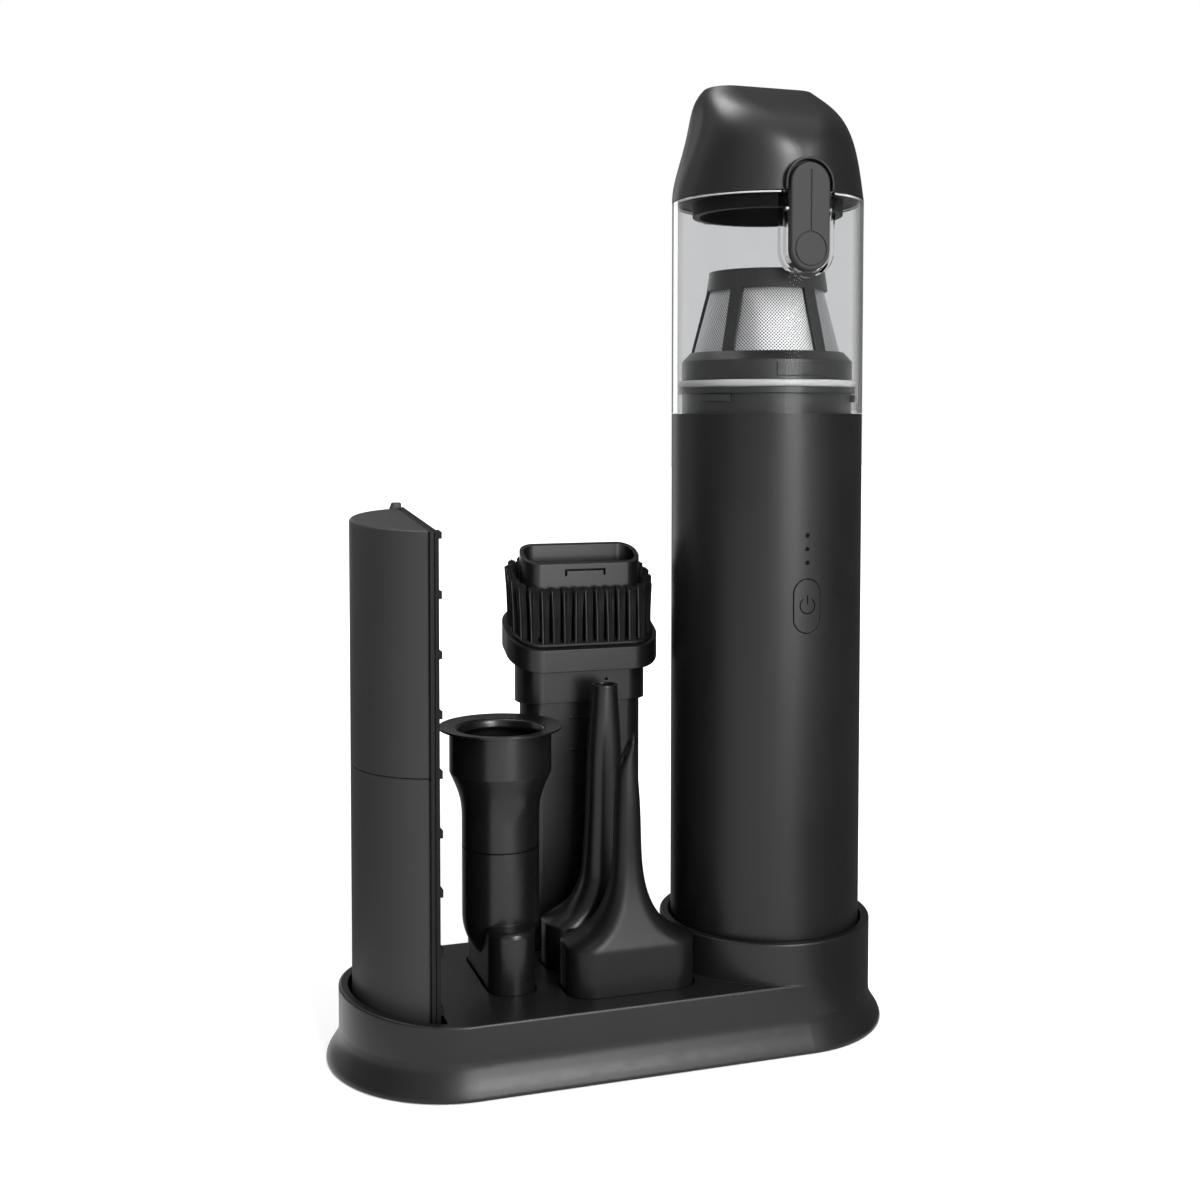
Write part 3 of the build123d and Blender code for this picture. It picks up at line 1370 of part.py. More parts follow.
# Floor head: two curved shells, a sole strip and a black pad with cross bumps
head_high_z = head_top_z + head_r
seam_low_z = head_seam_z - head_seam_gap / 2
seam_high_z = head_seam_z + head_seam_gap / 2
with BuildPart() as head_shell_lower:
    half_round(recess_floor_z, seam_low_z, head_r, head_chord_x)
    half_round(recess_floor_z + head_end_t, seam_low_z, head_r - head_t, head_chord_x - head_t, Mode.SUBTRACT)
    plug_low_z = recess_floor_z - head_plug_length
    prism(head_plug_x, 0, plug_low_z, recess_floor_z, plug_d, plug_w, plug_r)
    bore_w = plug_d - 2 * tool_wall
    bore_d = plug_w - 2 * tool_wall
    bore_top = recess_floor_z + head_end_t
    prism(head_plug_x, 0, plug_low_z, bore_top, bore_w, bore_d, plug_r - tool_wall, Mode.SUBTRACT)
head_shell_lower.part.label = "head_shell_lower"
export_step(head_shell_lower.part, "parts/head_shell_lower.step")

with BuildPart() as head_shell_upper:
    half_round(seam_high_z, head_high_z, head_r, head_chord_x)
    split(bisect_by=head_top(), keep=Keep.BOTTOM)
    top_edges = head_shell_upper.faces().sort_by(Axis.Z)[-1].edges()
    fillet(top_edges.filter_by(GeomType.LINE, reverse=True), head_round)
    core_top_z = head_top_z - head_top_slope * head_r - head_end_t
    half_round(seam_high_z, core_top_z, head_r - head_t, head_chord_x - head_t, Mode.SUBTRACT)
head_shell_upper.part.label = "head_shell_upper"
export_step(head_shell_upper.part, "parts/head_shell_upper.step")

strip_x = head_chord_x + head_strip_t
pad_x = strip_x + head_pad_t
with BuildPart() as head_sole_strip:
    half_w = head_half_w - head_strip_inset
    block((head_chord_x, -half_w, recess_floor_z), (strip_x, half_w, head_high_z))
    split(bisect_by=head_top(), keep=Keep.BOTTOM)
head_sole_strip.part.label = "head_sole_strip"
export_step(head_sole_strip.part, "parts/head_sole_strip.step")

with BuildPart() as head_sole_pad:
    block((strip_x, -head_half_w, recess_floor_z), (pad_x, head_half_w, head_high_z))
    for step in range(bump_count):
        z = bump_top_z - step * bump_pitch
        for side in (-1, 1):
            mid_y = side * (head_half_w - bump_w / 2)
            block(
                (strip_x, mid_y - bump_w / 2, z - bump_h / 2),
                (pad_x + bump_proud, mid_y + bump_w / 2, z + bump_h / 2),
            )
    split(bisect_by=head_top(), keep=Keep.BOTTOM)
head_sole_pad.part.label = "head_sole_pad"
export_step(head_sole_pad.part, "parts/head_sole_pad.step")
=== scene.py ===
"""Looks of the mini vacuum cleaner in its dock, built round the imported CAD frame. Metres."""
import math
import random

import bmesh
import bpy
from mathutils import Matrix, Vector


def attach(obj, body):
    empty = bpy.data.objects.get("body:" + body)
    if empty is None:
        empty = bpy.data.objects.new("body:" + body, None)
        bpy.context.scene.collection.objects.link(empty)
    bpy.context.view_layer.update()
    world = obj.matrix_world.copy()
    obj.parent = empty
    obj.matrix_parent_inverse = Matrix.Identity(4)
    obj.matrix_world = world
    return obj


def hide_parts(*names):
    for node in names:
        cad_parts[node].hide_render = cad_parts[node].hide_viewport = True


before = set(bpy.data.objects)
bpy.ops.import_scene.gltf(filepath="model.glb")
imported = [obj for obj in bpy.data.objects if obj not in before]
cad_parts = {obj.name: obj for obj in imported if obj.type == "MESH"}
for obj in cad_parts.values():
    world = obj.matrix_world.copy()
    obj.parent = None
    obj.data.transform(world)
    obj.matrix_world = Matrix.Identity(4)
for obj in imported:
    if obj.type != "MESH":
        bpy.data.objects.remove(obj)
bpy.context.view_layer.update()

MM = 0.001

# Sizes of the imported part, in mm
AXIS_X = 55.85  # the vacuum's axis
BODY_R = 32.5
BUTTON_Z = 145.75  # middle of the power button
BUTTON_PROUD = 0.15
CUP_EDGE_Z = 279.45  # just under the cup's upper edge
SEAL_Z = 218.25  # middle of the seal ring
SEAL_HALF = 1.2
FLANGE = (-37.9, 4.0)  # axis of the flange nozzle
BRUSH = (-3.0, 27.0)  # middle of the flat nozzle
COLLAR_FRONT = 13.7  # depth of the brush collar's front
COLLAR_SLOPE = math.tan(math.radians(25))
BACKING_Z = 127.6  # collar's slanted top at its front
HEAD_TOP = 174.5  # top of the floor head over its middle
HEAD_SLOPE = 0.08


# ---------------------------------------------------------------- materials


def start(name):
    """A new material with its nodes, links and shader."""
    made = bpy.data.materials.new(name)
    made.use_nodes = True
    tree = made.node_tree
    return made, tree.nodes, tree.links, tree.nodes["Principled BSDF"]


def noise(nodes, links, place, scale, detail, stretch=None):
    """Noise over the object's own coordinates; stretch squeezes it along an axis."""
    made = nodes.new("ShaderNodeTexNoise")
    made.inputs["Scale"].default_value = scale
    made.inputs["Detail"].default_value = detail
    made.inputs["Roughness"].default_value = 0.55
    source = place.outputs["Object"]
    if stretch:
        mapping = nodes.new("ShaderNodeMapping")
        mapping.inputs["Scale"].default_value = stretch
        links.new(source, mapping.inputs["Vector"])
        source = mapping.outputs["Vector"]
    links.new(source, made.inputs["Vector"])
    return made.outputs["Fac"]


def spread(nodes, links, source, low, high, start_at=0.3, end_at=0.7):
    """Spread a texture's value over a range."""
    made = nodes.new("ShaderNodeMapRange")
    made.inputs["From Min"].default_value = start_at
    made.inputs["From Max"].default_value = end_at
    made.inputs["To Min"].default_value = low
    made.inputs["To Max"].default_value = high
    links.new(source, made.inputs["Value"])
    return made.outputs["Result"]


def blend_colour(nodes, links, share, first, second):
    """Mix two colours by a texture."""
    made = nodes.new("ShaderNodeMix")
    made.data_type = "RGBA"
    made.inputs[6].default_value = (*first, 1)
    made.inputs[7].default_value = (*second, 1)
    links.new(share, made.inputs[0])
    return made.outputs[2]


def arithmetic(nodes, links, operation, first, second=None):
    """One math node; numbers and sockets both do."""
    made = nodes.new("ShaderNodeMath")
    made.operation = operation
    for socket, value in zip(made.inputs, (first, second)):
        if value is None:
            continue
        if isinstance(value, (int, float)):
            socket.default_value = value
        else:
            links.new(value, socket)
    return made.outputs[0]


def from_axis(nodes, links, place):
    """Sideways and depth offsets from the vacuum's axis, and the height, of a spot on a piece."""
    parts = nodes.new("ShaderNodeSeparateXYZ")
    links.new(place.outputs["Object"], parts.inputs[0])
    off = arithmetic(nodes, links, "SUBTRACT", parts.outputs["X"], AXIS_X * MM)
    return off, parts.outputs["Y"], parts.outputs["Z"]


def seen_rays(nodes, links):
    """1 for rays that look at a surface, straight or by way of gloss or glass; 0 for rays that light."""
    rays = nodes.new("ShaderNodeLightPath")
    seen = arithmetic(nodes, links, "MAXIMUM", rays.outputs["Is Camera Ray"], rays.outputs["Is Glossy Ray"])
    return arithmetic(nodes, links, "MAXIMUM", seen, rays.outputs["Is Transmission Ray"])


def relief(nodes, links, skin, height, strength, distance, edge):
    """Bump on the shader, over edges that look rounded."""
    bump = nodes.new("ShaderNodeBump")
    bump.inputs["Strength"].default_value = strength
    bump.inputs["Distance"].default_value = distance
    links.new(height, bump.inputs["Height"])
    if edge:
        bevel = nodes.new("ShaderNodeBevel")
        bevel.samples = 6
        bevel.inputs["Radius"].default_value = edge
        links.new(bevel.outputs["Normal"], bump.inputs["Normal"])
    links.new(bump.outputs["Normal"], skin.inputs["Normal"])


def moulded(name, dark, light, rough, vary, grain=0.22, strength=0.025, edge=0.3, metal=0.0, specular=0.5):
    """Moulded plastic or metal: drifting tone, fine spark-eroded grain and uneven gloss.

    grain and edge, the radius over which edges look rounded, are in mm.
    """
    made, nodes, links, skin = start(name)
    place = nodes.new("ShaderNodeTexCoord")
    drift = noise(nodes, links, place, 35, 4)
    fine = noise(nodes, links, place, 1 / (grain * MM), 2)
    tone = blend_colour(nodes, links, spread(nodes, links, drift, 0, 1), (dark,) * 3, (light,) * 3)
    links.new(tone, skin.inputs["Base Color"])
    both = arithmetic(nodes, links, "ADD", drift, fine)
    links.new(spread(nodes, links, both, rough - vary, rough + vary, 0.7, 1.3), skin.inputs["Roughness"])
    skin.inputs["Metallic"].default_value = metal
    skin.inputs["Specular IOR Level"].default_value = specular
    relief(nodes, links, skin, fine, strength, 0.02 * MM, edge * MM)
    return made


def tinted(name, first, second, rough, scale, strength=0.2, metal=0.0, stretch=None):
    """Coloured inner piece: two tones by a noise that may be drawn out along an axis."""
    made, nodes, links, skin = start(name)
    place = nodes.new("ShaderNodeTexCoord")
    fleck = noise(nodes, links, place, scale, 4, stretch)
    tone = blend_colour(nodes, links, spread(nodes, links, fleck, 0, 1), first, second)
    links.new(tone, skin.inputs["Base Color"])
    links.new(spread(nodes, links, fleck, rough - 0.06, rough + 0.06), skin.inputs["Roughness"])
    skin.inputs["Metallic"].default_value = metal
    relief(nodes, links, skin, fleck, strength, 0.05 * MM, 0)
    return made


def clear_plastic():
    """Clear cup: see-through wall, slightly smoked, whose outer skin mirrors the room at a slant.

    Lamps shine through it, so that the filter inside is lit.
    """
    made, nodes, links, skin = start("clear_cup")
    place = nodes.new("ShaderNodeTexCoord")
    wave = noise(nodes, links, place, 60, 2)
    share = spread(nodes, links, wave, 0, 1)
    tone = blend_colour(nodes, links, share, (0.735, 0.74, 0.745), (0.755, 0.76, 0.765))
    links.new(tone, skin.inputs["Base Color"])
    skin.inputs["Roughness"].default_value = 0.0
    skin.inputs["IOR"].default_value = 1.06
    skin.inputs["Transmission Weight"].default_value = 1.0
    relief(nodes, links, skin, wave, 0.02, 0.05 * MM, 0)
    slope = nodes.new("ShaderNodeLayerWeight")
    slope.inputs["Blend"].default_value = 0.5
    graze = spread(nodes, links, slope.outputs["Facing"], 0, 0.85, 0.52, 0.74)
    off, depth, _ = from_axis(nodes, links, place)
    squares = [arithmetic(nodes, links, "MULTIPLY", side, side) for side in (off, depth)]
    reach = arithmetic(nodes, links, "SQRT", arithmetic(nodes, links, "ADD", *squares))
    outer = arithmetic(nodes, links, "GREATER_THAN", reach, (BODY_R - 0.4) * MM)
    mirror = nodes.new("ShaderNodeBsdfGlossy")
    mirror.inputs["Color"].default_value = (0.95, 0.95, 0.95, 1)
    mirror.inputs["Roughness"].default_value = 0.08
    mixed = nodes.new("ShaderNodeMixShader")
    links.new(arithmetic(nodes, links, "MULTIPLY", graze, outer), mixed.inputs[0])
    links.new(skin.outputs["BSDF"], mixed.inputs[1])
    links.new(mirror.outputs["BSDF"], mixed.inputs[2])
    passing = nodes.new("ShaderNodeBsdfTransparent")
    passing.inputs["Color"].default_value = (0.9, 0.9, 0.9, 1)
    path = nodes.new("ShaderNodeLightPath")
    lit = nodes.new("ShaderNodeMixShader")
    links.new(path.outputs["Is Shadow Ray"], lit.inputs[0])
    links.new(mixed.outputs[0], lit.inputs[1])
    links.new(passing.outputs["BSDF"], lit.inputs[2])
    links.new(lit.outputs[0], nodes["Material Output"].inputs["Surface"])
    return made


def woven_steel():
    """Fine woven steel: bright crowns of wire in staggered rows, and painted shade, near black, between
    them where the dips and holes of the weave fall dark.
    """
    made, nodes, links, skin = start("woven_steel")
    place = nodes.new("ShaderNodeTexCoord")
    off, depth, height = from_axis(nodes, links, place)
    angle = arithmetic(nodes, links, "ARCTAN2", depth, off)
    wires_round, wires_up = 130.0, 5600.0  # phase per radian and per metre
    warp = arithmetic(nodes, links, "SINE", arithmetic(nodes, links, "MULTIPLY", angle, wires_round))
    weft = arithmetic(nodes, links, "SINE", arithmetic(nodes, links, "MULTIPLY", height, wires_up))
    weave = arithmetic(nodes, links, "MULTIPLY", warp, weft)
    # The weave's pattern is the mesh's own; its near-black low tone is painted shade between the wires, the
    # high tone is the steel's colour
    share = spread(nodes, links, weave, 0, 1, -0.6, 0.3)
    tone = blend_colour(nodes, links, share, (0.012, 0.012, 0.0125), (0.56, 0.56, 0.57))
    links.new(tone, skin.inputs["Base Color"])
    links.new(spread(nodes, links, weave, 0.25, 0.33, -1, 1), skin.inputs["Roughness"])
    skin.inputs["Metallic"].default_value = 0.9
    relief(nodes, links, skin, weave, 0.6, 0.12 * MM, 0)
    return made


def nylon(name, dark, light):
    """Bristle fibre, streaked along its length."""
    made, nodes, links, skin = start(name)
    place = nodes.new("ShaderNodeTexCoord")
    streak = noise(nodes, links, place, 1500, 2, (1, 1, 0.06))
    tone = blend_colour(nodes, links, spread(nodes, links, streak, 0, 1), (dark,) * 3, (light,) * 3)
    links.new(tone, skin.inputs["Base Color"])
    links.new(spread(nodes, links, streak, 0.35, 0.5), skin.inputs["Roughness"])
    skin.inputs["Specular IOR Level"].default_value = 0.15
    relief(nodes, links, skin, streak, 0.15, 0.03 * MM, 0)
    return made


LOOKS = {
    "satin": moulded("satin_shell", 0.006, 0.008, 0.36, 0.02, specular=0.275),
    "cap": moulded("satin_cap", 0.006, 0.008, 0.36, 0.02, edge=0.9, specular=0.35),
    "dock": moulded("satin_dock", 0.006, 0.008, 0.34, 0.02, specular=0.29),
    "gloss": moulded("tool_plastic", 0.004, 0.0055, 0.28, 0.02, specular=0.34),
    "brush": moulded("brush_plastic", 0.004, 0.0055, 0.3, 0.02, specular=0.29),
    "slim": moulded("blower_plastic", 0.004, 0.0055, 0.3, 0.02, edge=1.0, specular=0.3),
    "dim": moulded("oblique_plastic", 0.004, 0.0055, 0.34, 0.02, edge=2.2, specular=0.2),
    "head": moulded("head_plastic", 0.018, 0.020, 0.48, 0.02, edge=0.9, specular=0.28),
    "latch": moulded("latch_plastic", 0.021, 0.025, 0.55, 0.02, specular=0.22),
    "rubber": moulded("black_rubber", 0.003, 0.005, 0.6, 0.04, grain=0.4, strength=0.05, specular=0.12),
    "seal": moulded("grey_seal", 0.26, 0.31, 0.42, 0.04, grain=0.5, strength=0.05),
    "strip": moulded("strip_plastic", 0.004, 0.006, 0.45, 0.03, specular=0.12),
    "steel": moulded("turned_steel", 0.42, 0.5, 0.3, 0.06, grain=0.2, metal=1.0),
    "pipe": moulded("light_pipe", 0.001, 0.002, 0.5, 0.03, edge=0, specular=0.05),
    "chip": tinted("light_chip", (0.75, 0.66, 0.25), (0.85, 0.8, 0.5), 0.4, 900),
    "clear": clear_plastic(),
    # Pale grey bead on the cup's rim: a painted highlight for the clear edge catching the light
    "bead": moulded("pale_rim_highlight", 0.34, 0.4, 0.2, 0.02, edge=0),
    "mesh": woven_steel(),
    "foam": tinted("exhaust_foam", (0.012, 0.012, 0.013), (0.05, 0.05, 0.052), 0.9, 700, 0.9),
    "paper": tinted("pleated_paper", (0.52, 0.5, 0.45), (0.64, 0.62, 0.57), 0.85, 500, 0.4),
    "cell": tinted("cell_wrap", (0.03, 0.10, 0.22), (0.04, 0.13, 0.28), 0.35, 60),
    "board": tinted("circuit_board", (0.01, 0.07, 0.03), (0.015, 0.11, 0.045), 0.4, 300),
    "magnet": tinted("ferrite", (0.03, 0.03, 0.032), (0.06, 0.06, 0.062), 0.6, 400),
    "copper": tinted("wound_copper", (0.42, 0.16, 0.06), (0.62, 0.27, 0.12), 0.35, 500, 0.5,
                     metal=1.0, stretch=(1, 1, 8)),
    "fan": moulded("fan_plastic", 0.09, 0.12, 0.4, 0.04),
    "inner": moulded("inner_plastic", 0.03, 0.04, 0.5, 0.04),
    "frame": moulded("frame_plastic", 0.005, 0.007, 0.38, 0.02),
    "nylon": nylon("nylon_bristle", 0.002, 0.007),
    # Paler copy of the fibre: a painted highlight for the tufts' lit front-left side
    "nylon_painted_highlight": nylon("nylon_painted_highlight", 0.03, 0.07),
}

DRESS = {
    "satin": "body_shell tail_cap power_button",
    "cap": "nozzle_cap",
    "dock": "dock_shell",
    "gloss": "flange_nozzle_upper flange_nozzle_lower",
    "brush": "brush_tube brush_carrier",
    "slim": "blower_nozzle",
    "dim": "oblique_nozzle",
    "head": "head_shell_lower head_shell_upper",
    "latch": "latch_lever",
    "rubber": "dock_feet cap_gasket head_sole_pad motor_damper",
    "seal": "seal_ring",
    "strip": "head_sole_strip",
    "steel": "dock_screws tail_screws hinge_pin latch_pin motor_can motor_shaft charge_inlet",
    "pipe": "light_pipes",
    "chip": "light_chips",
    "clear": "dust_cup",
    "mesh": "filter_mesh",
    "foam": "exhaust_foam",
    "paper": "inner_filter",
    "cell": "battery_cells",
    "board": "charge_board control_board",
    "magnet": "motor_magnets",
    "copper": "motor_armature",
    "fan": "fan_impeller",
    "inner": "dock_base_plate battery_tray_lower battery_tray_upper motor_cradle motor_mount "
             "fan_shroud push_switch",
    "frame": "neck_collar filter_frame",
    "nylon": "brush_bristles",
}

for look, names in DRESS.items():
    for node in names.split():
        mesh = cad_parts[node].data
        mesh.materials.clear()
        mesh.materials.append(LOOKS[look])
        mesh.polygons.foreach_set("material_index", [0] * len(mesh.polygons))


# ---------------------------------------------------------------- pieces


def piece(name, bm, look, body, replaced=()):
    """Turn a bmesh, drawn in mm, into a piece that rides on a body."""
    mesh = bpy.data.meshes.new(name)
    bmesh.ops.scale(bm, vec=(MM, MM, MM), verts=bm.verts)
    bm.to_mesh(mesh)
    bm.free()
    mesh.materials.append(LOOKS[look])
    mesh.shade_smooth()
    made = bpy.data.objects.new(name, mesh)
    bpy.context.scene.collection.objects.link(made)
    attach(made, body)
    if replaced:
        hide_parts(*replaced)
    return made


def rounded(width, depth, radius, count):
    """Points evenly spaced along a rounded rectangle, with the outward direction at each."""
    straight_x, straight_y = width - 2 * radius, depth - 2 * radius
    arc = math.pi * radius / 2
    runs = (
        ((radius - width / 2, -depth / 2), (1, 0), straight_x),
        ((width / 2 - radius, radius - depth / 2), -90, arc),
        ((width / 2, radius - depth / 2), (0, 1), straight_y),
        ((width / 2 - radius, depth / 2 - radius), 0, arc),
        ((width / 2 - radius, depth / 2), (-1, 0), straight_x),
        ((radius - width / 2, depth / 2 - radius), 90, arc),
        ((-width / 2, depth / 2 - radius), (0, -1), straight_y),
        ((radius - width / 2, radius - depth / 2), 180, arc),
    )
    total = sum(run[2] for run in runs)
    spots = []
    for step in range(count):
        along = total * step / count
        for origin, way, length in runs:
            if along < length:
                break
            along -= length
        if isinstance(way, tuple):
            out = (way[1], -way[0])
            spots.append((origin[0] + way[0] * along, origin[1] + way[1] * along, *out))
        else:
            angle = math.radians(way) + along / radius
            out = (math.cos(angle), math.sin(angle))
            spots.append((origin[0] + radius * out[0], origin[1] + radius * out[1], *out))
    return spots


def brush_height(y):
    """Height of the collar's slanted top at a depth."""
    return BACKING_Z + COLLAR_SLOPE * (y - COLLAR_FRONT)


TUFTS = 31
STRANDS = 90  # in a tuft
STRAND_LENGTH = 18.9
TUFT_R = 1.35
GOLDEN_TURN = 2.39996  # spreads the strands evenly over a tuft
BACKING_STEPS = 96


def make_bristles():
    """Tufts of thin tapered strands on a slanted backing; the strands on each tuft's front-left side take a
    paler copy of the fibre, a painted highlight where light from the left falls.
    """
    chance = random.Random(7)
    bm = bmesh.new()
    rings = []
    outer, inner = (51.7, 23.8, 9.6), (45, 16.2, 6.3)
    for outline, lift in ((outer, 0), (outer, 1), (inner, 1), (inner, 0)):
        row = []
        for x, y, _, _ in rounded(*outline, BACKING_STEPS):
            x, y = x + BRUSH[0], y + BRUSH[1]
            row.append(bm.verts.new((x, y, brush_height(y) + lift)))
        rings.append(row)
    for near, far in zip(rings, rings[1:] + rings[:1]):
        for place in range(BACKING_STEPS):
            after = (place + 1) % BACKING_STEPS
            bm.faces.new((near[place], near[after], far[after], far[place]))
    for x, y, out_x, out_y in rounded(48.35, 20.0, 8.65, TUFTS):
        sway_x = 0.45 * out_x - 0.35 + chance.gauss(0, 0.15)
        sway_y = 0.45 * out_y + chance.gauss(0, 0.15)
        for strand in range(STRANDS):
            reach, turn = TUFT_R * math.sqrt(strand / STRANDS), strand * GOLDEN_TURN
            off_x, off_y = reach * math.cos(turn), reach * math.sin(turn)
            root_x, root_y = BRUSH[0] + x + off_x, BRUSH[1] + y + off_y
            low = brush_height(root_y)
            length = STRAND_LENGTH + 0.35 * COLLAR_SLOPE * off_y - abs(chance.gauss(0, 0.22))
            lean_x = sway_x + 0.22 * off_x + chance.gauss(0, 0.1)
            lean_y = sway_y + 0.22 * off_y + chance.gauss(0, 0.1)
            rows = []
            for share, radius in ((0.02, 0.19), (0.5, 0.19), (1.0, 0.17)):
                middle = (root_x + lean_x * share**1.6, root_y + lean_y * share**1.6, low + length * share)
                row = []
                for side in range(4):
                    angle = turn + side * math.pi / 2
                    row.append(bm.verts.new((middle[0] + radius * math.cos(angle),
                                             middle[1] + radius * math.sin(angle), middle[2])))
                rows.append(row)
            # Strands on the tuft's front-left side get the paler fibre: a painted highlight where the light
            # falls on that side
            lit_side_highlight = int(off_x < -0.9 and off_y < -0.6)
            for near, far in zip(rows, rows[1:]):
                for side in range(4):
                    after = (side + 1) % 4
                    bm.faces.new((near[side], near[after], far[after], far[side])).material_index = lit_side_highlight
            bm.faces.new(rows[-1]).material_index = lit_side_highlight
    made = piece("bristle_tufts", bm, "nylon", "brush_slider", ("brush_bristles",))
    # Second slot: the paler fibre that paints the highlight on the tufts' lit side
    made.data.materials.append(LOOKS["nylon_painted_highlight"])


make_bristles()


def on_body(x, z, radius):
    """Point of the vacuum's front wall at a sideways offset and a height."""
    return (AXIS_X + x, -math.sqrt(radius**2 - x**2), z)


def make_power_icon():
    """Plain power sign, thin dark lines on the button: an open ring and a bar."""
    bm = bmesh.new()
    ring_r, half = 2.6, 0.2
    lines = []
    turns = [math.radians(90 + 38 + step * (360 - 76) / 40) for step in range(41)]
    lines.append([((ring_r - half) * math.cos(a), (ring_r - half) * math.sin(a),
                   (ring_r + half) * math.cos(a), (ring_r + half) * math.sin(a)) for a in turns])
    lines.append([(-half, 0.4 + step * 0.6, half, 0.4 + step * 0.6) for step in range(6)])
    for line in lines:
        rows = []
        for x0, z0, x1, z1 in line:
            corners = ((x0, z0, -0.02), (x0, z0, 0.03), (x1, z1, 0.03), (x1, z1, -0.02))
            rows.append([bm.verts.new(on_body(x, BUTTON_Z + z, BODY_R + BUTTON_PROUD + lift))
                         for x, z, lift in corners])
        for near, far in zip(rows, rows[1:]):
            for side in range(3):
                bm.faces.new((near[side], near[side + 1], far[side + 1], far[side]))
    bmesh.ops.recalc_face_normals(bm, faces=bm.faces)
    piece("power_sign", bm, "pipe", "button")


make_power_icon()


def make_cup_rim():
    """Pale grey bead along the cup's upper edge, open where the latch sits: a painted highlight where the
    clear rim catches the light.
    """
    bm = bmesh.new()
    bead_r, half_gap, steps = 0.3, 17, 120
    rows = []
    for step in range(steps + 1):
        turn = math.radians(-90 + half_gap + step * (360 - 2 * half_gap) / steps)
        row = []
        for side in range(8):
            angle = side * math.pi / 4
            reach = BODY_R - 0.32 + bead_r * math.cos(angle)
            row.append(bm.verts.new((AXIS_X + reach * math.cos(turn), reach * math.sin(turn),
                                     CUP_EDGE_Z + bead_r * math.sin(angle))))
        rows.append(row)
    for near, far in zip(rows, rows[1:]):
        for side in range(8):
            after = (side + 1) % 8
            bm.faces.new((near[side], near[after], far[after], far[side]))
    for end in (rows[0], rows[-1]):
        bm.faces.new(end)
    bmesh.ops.recalc_face_normals(bm, faces=bm.faces)
    # The bead's pale grey is a painted highlight on the clear rim
    piece("cup_rim_highlight", bm, "bead", "cup")


make_cup_rim()


def lathe(name, profile, centre, look, body, replaced=()):
    """Turn a closed profile of (radius, height) about an upright axis."""
    bm = bmesh.new()
    steps = 96
    rows = []
    for step in range(steps):
        turn = math.radians(step * 360 / steps)
        way_x, way_y = math.cos(turn), math.sin(turn)
        rows.append([bm.verts.new((centre[0] + reach * way_x, centre[1] + reach * way_y, z))
                     for reach, z in profile])
    for near, far in zip(rows, rows[1:] + rows[:1]):
        for side in range(len(profile)):
            after = (side + 1) % len(profile)
            bm.faces.new((near[side], near[after], far[after], far[side]))
    bmesh.ops.recalc_face_normals(bm, faces=bm.faces)
    piece(name, bm, look, body, replaced)


SEAL_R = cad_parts["seal_ring"].dimensions.x / 2 / MM
arc = [math.radians(-90 + step * 15) for step in range(13)]
bead = [(SEAL_R - 1.0 + math.cos(turn), SEAL_Z + SEAL_HALF * math.sin(turn)) for turn in arc]
bead += [(SEAL_R - 2, SEAL_Z + SEAL_HALF), (SEAL_R - 2, SEAL_Z - SEAL_HALF)]
lathe("seal_bead", bead, (AXIS_X, 0), "seal", "vacuum", ("seal_ring",))

lip = [(15.0, 104.6), (14.4, 104.0), (13.7, 102.2), (13.7, 101.2), (15.0, 101.2)]
lathe("flange_lip", lip, FLANGE, "gloss", "flange_tool")
seam = [(12.82, 65.45), (12.82, 65.95), (12.6, 65.95), (12.6, 65.45)]
lathe("flange_seam", seam, FLANGE, "pipe", "flange_tool")


def make_head_tab():
    """Small raised tab at the back end of the floor head's sloping top."""
    bm = bmesh.new()
    front, back = [], []
    for y, end in ((25.6, front), (28.1, back)):
        top = HEAD_TOP + HEAD_SLOPE * y
        low, high = top - 1.5, top + 1.7
        for x, z in ((-70.6, low), (-66.4, low), (-66.4, high), (-69.4, high)):
            end.append(bm.verts.new((x, y, z)))
    bm.faces.new(front)
    bm.faces.new(back[::-1])
    for side in range(4):
        after = (side + 1) % 4
        bm.faces.new((front[after], front[side], back[side], back[after]))
    bmesh.ops.bevel(bm, geom=bm.edges[:], offset=0.3, segments=2, profile=0.5, affect="EDGES")
    bmesh.ops.recalc_face_normals(bm, faces=bm.faces)
    piece("head_tab", bm, "head", "floor_head")


make_head_tab()


# ---------------------------------------------------------------- studio


def plane(name, corners, material, **shown):
    """Flat stage card through its corners, in metres."""
    mesh = bpy.data.meshes.new(name)
    mesh.from_pydata(corners, [], [range(len(corners))])
    mesh.materials.append(material)
    made = bpy.data.objects.new(name, mesh)
    bpy.context.scene.collection.objects.link(made)
    for ray, seen in shown.items():
        setattr(made, "visible_" + ray, seen)


def floor_material():
    """White floor that keeps the object's shadow and reads as white paper to the eye."""
    made, nodes, links, skin = start("paper_floor")
    place = nodes.new("ShaderNodeTexCoord")
    grain = noise(nodes, links, place, 900, 2)
    tone = blend_colour(nodes, links, grain, (0.80, 0.80, 0.80), (0.83, 0.83, 0.83))
    links.new(tone, skin.inputs["Base Color"])
    skin.inputs["Roughness"].default_value = 0.9
    skin.inputs["Specular IOR Level"].default_value = 0.0
    away = nodes.new("ShaderNodeVectorMath")
    away.operation = "LENGTH"
    links.new(place.outputs["Object"], away.inputs[0])
    far = spread(nodes, links, away.outputs["Value"], 0.36, 1.0, 0.2, 0.9)
    skin.inputs["Emission Color"].default_value = (1, 1, 1, 1)
    glow = arithmetic(nodes, links, "MULTIPLY", seen_rays(nodes, links), far)
    links.new(glow, skin.inputs["Emission Strength"])
    return made


def card_material(name, level):
    """Plain card that glows a little, seen only in reflections."""
    made, _, _, skin = start(name)
    skin.inputs["Base Color"].default_value = (0.02, 0.02, 0.02, 1)
    skin.inputs["Roughness"].default_value = 1.0
    skin.inputs["Emission Color"].default_value = (1, 1, 1, 1)
    skin.inputs["Emission Strength"].default_value = level
    return made


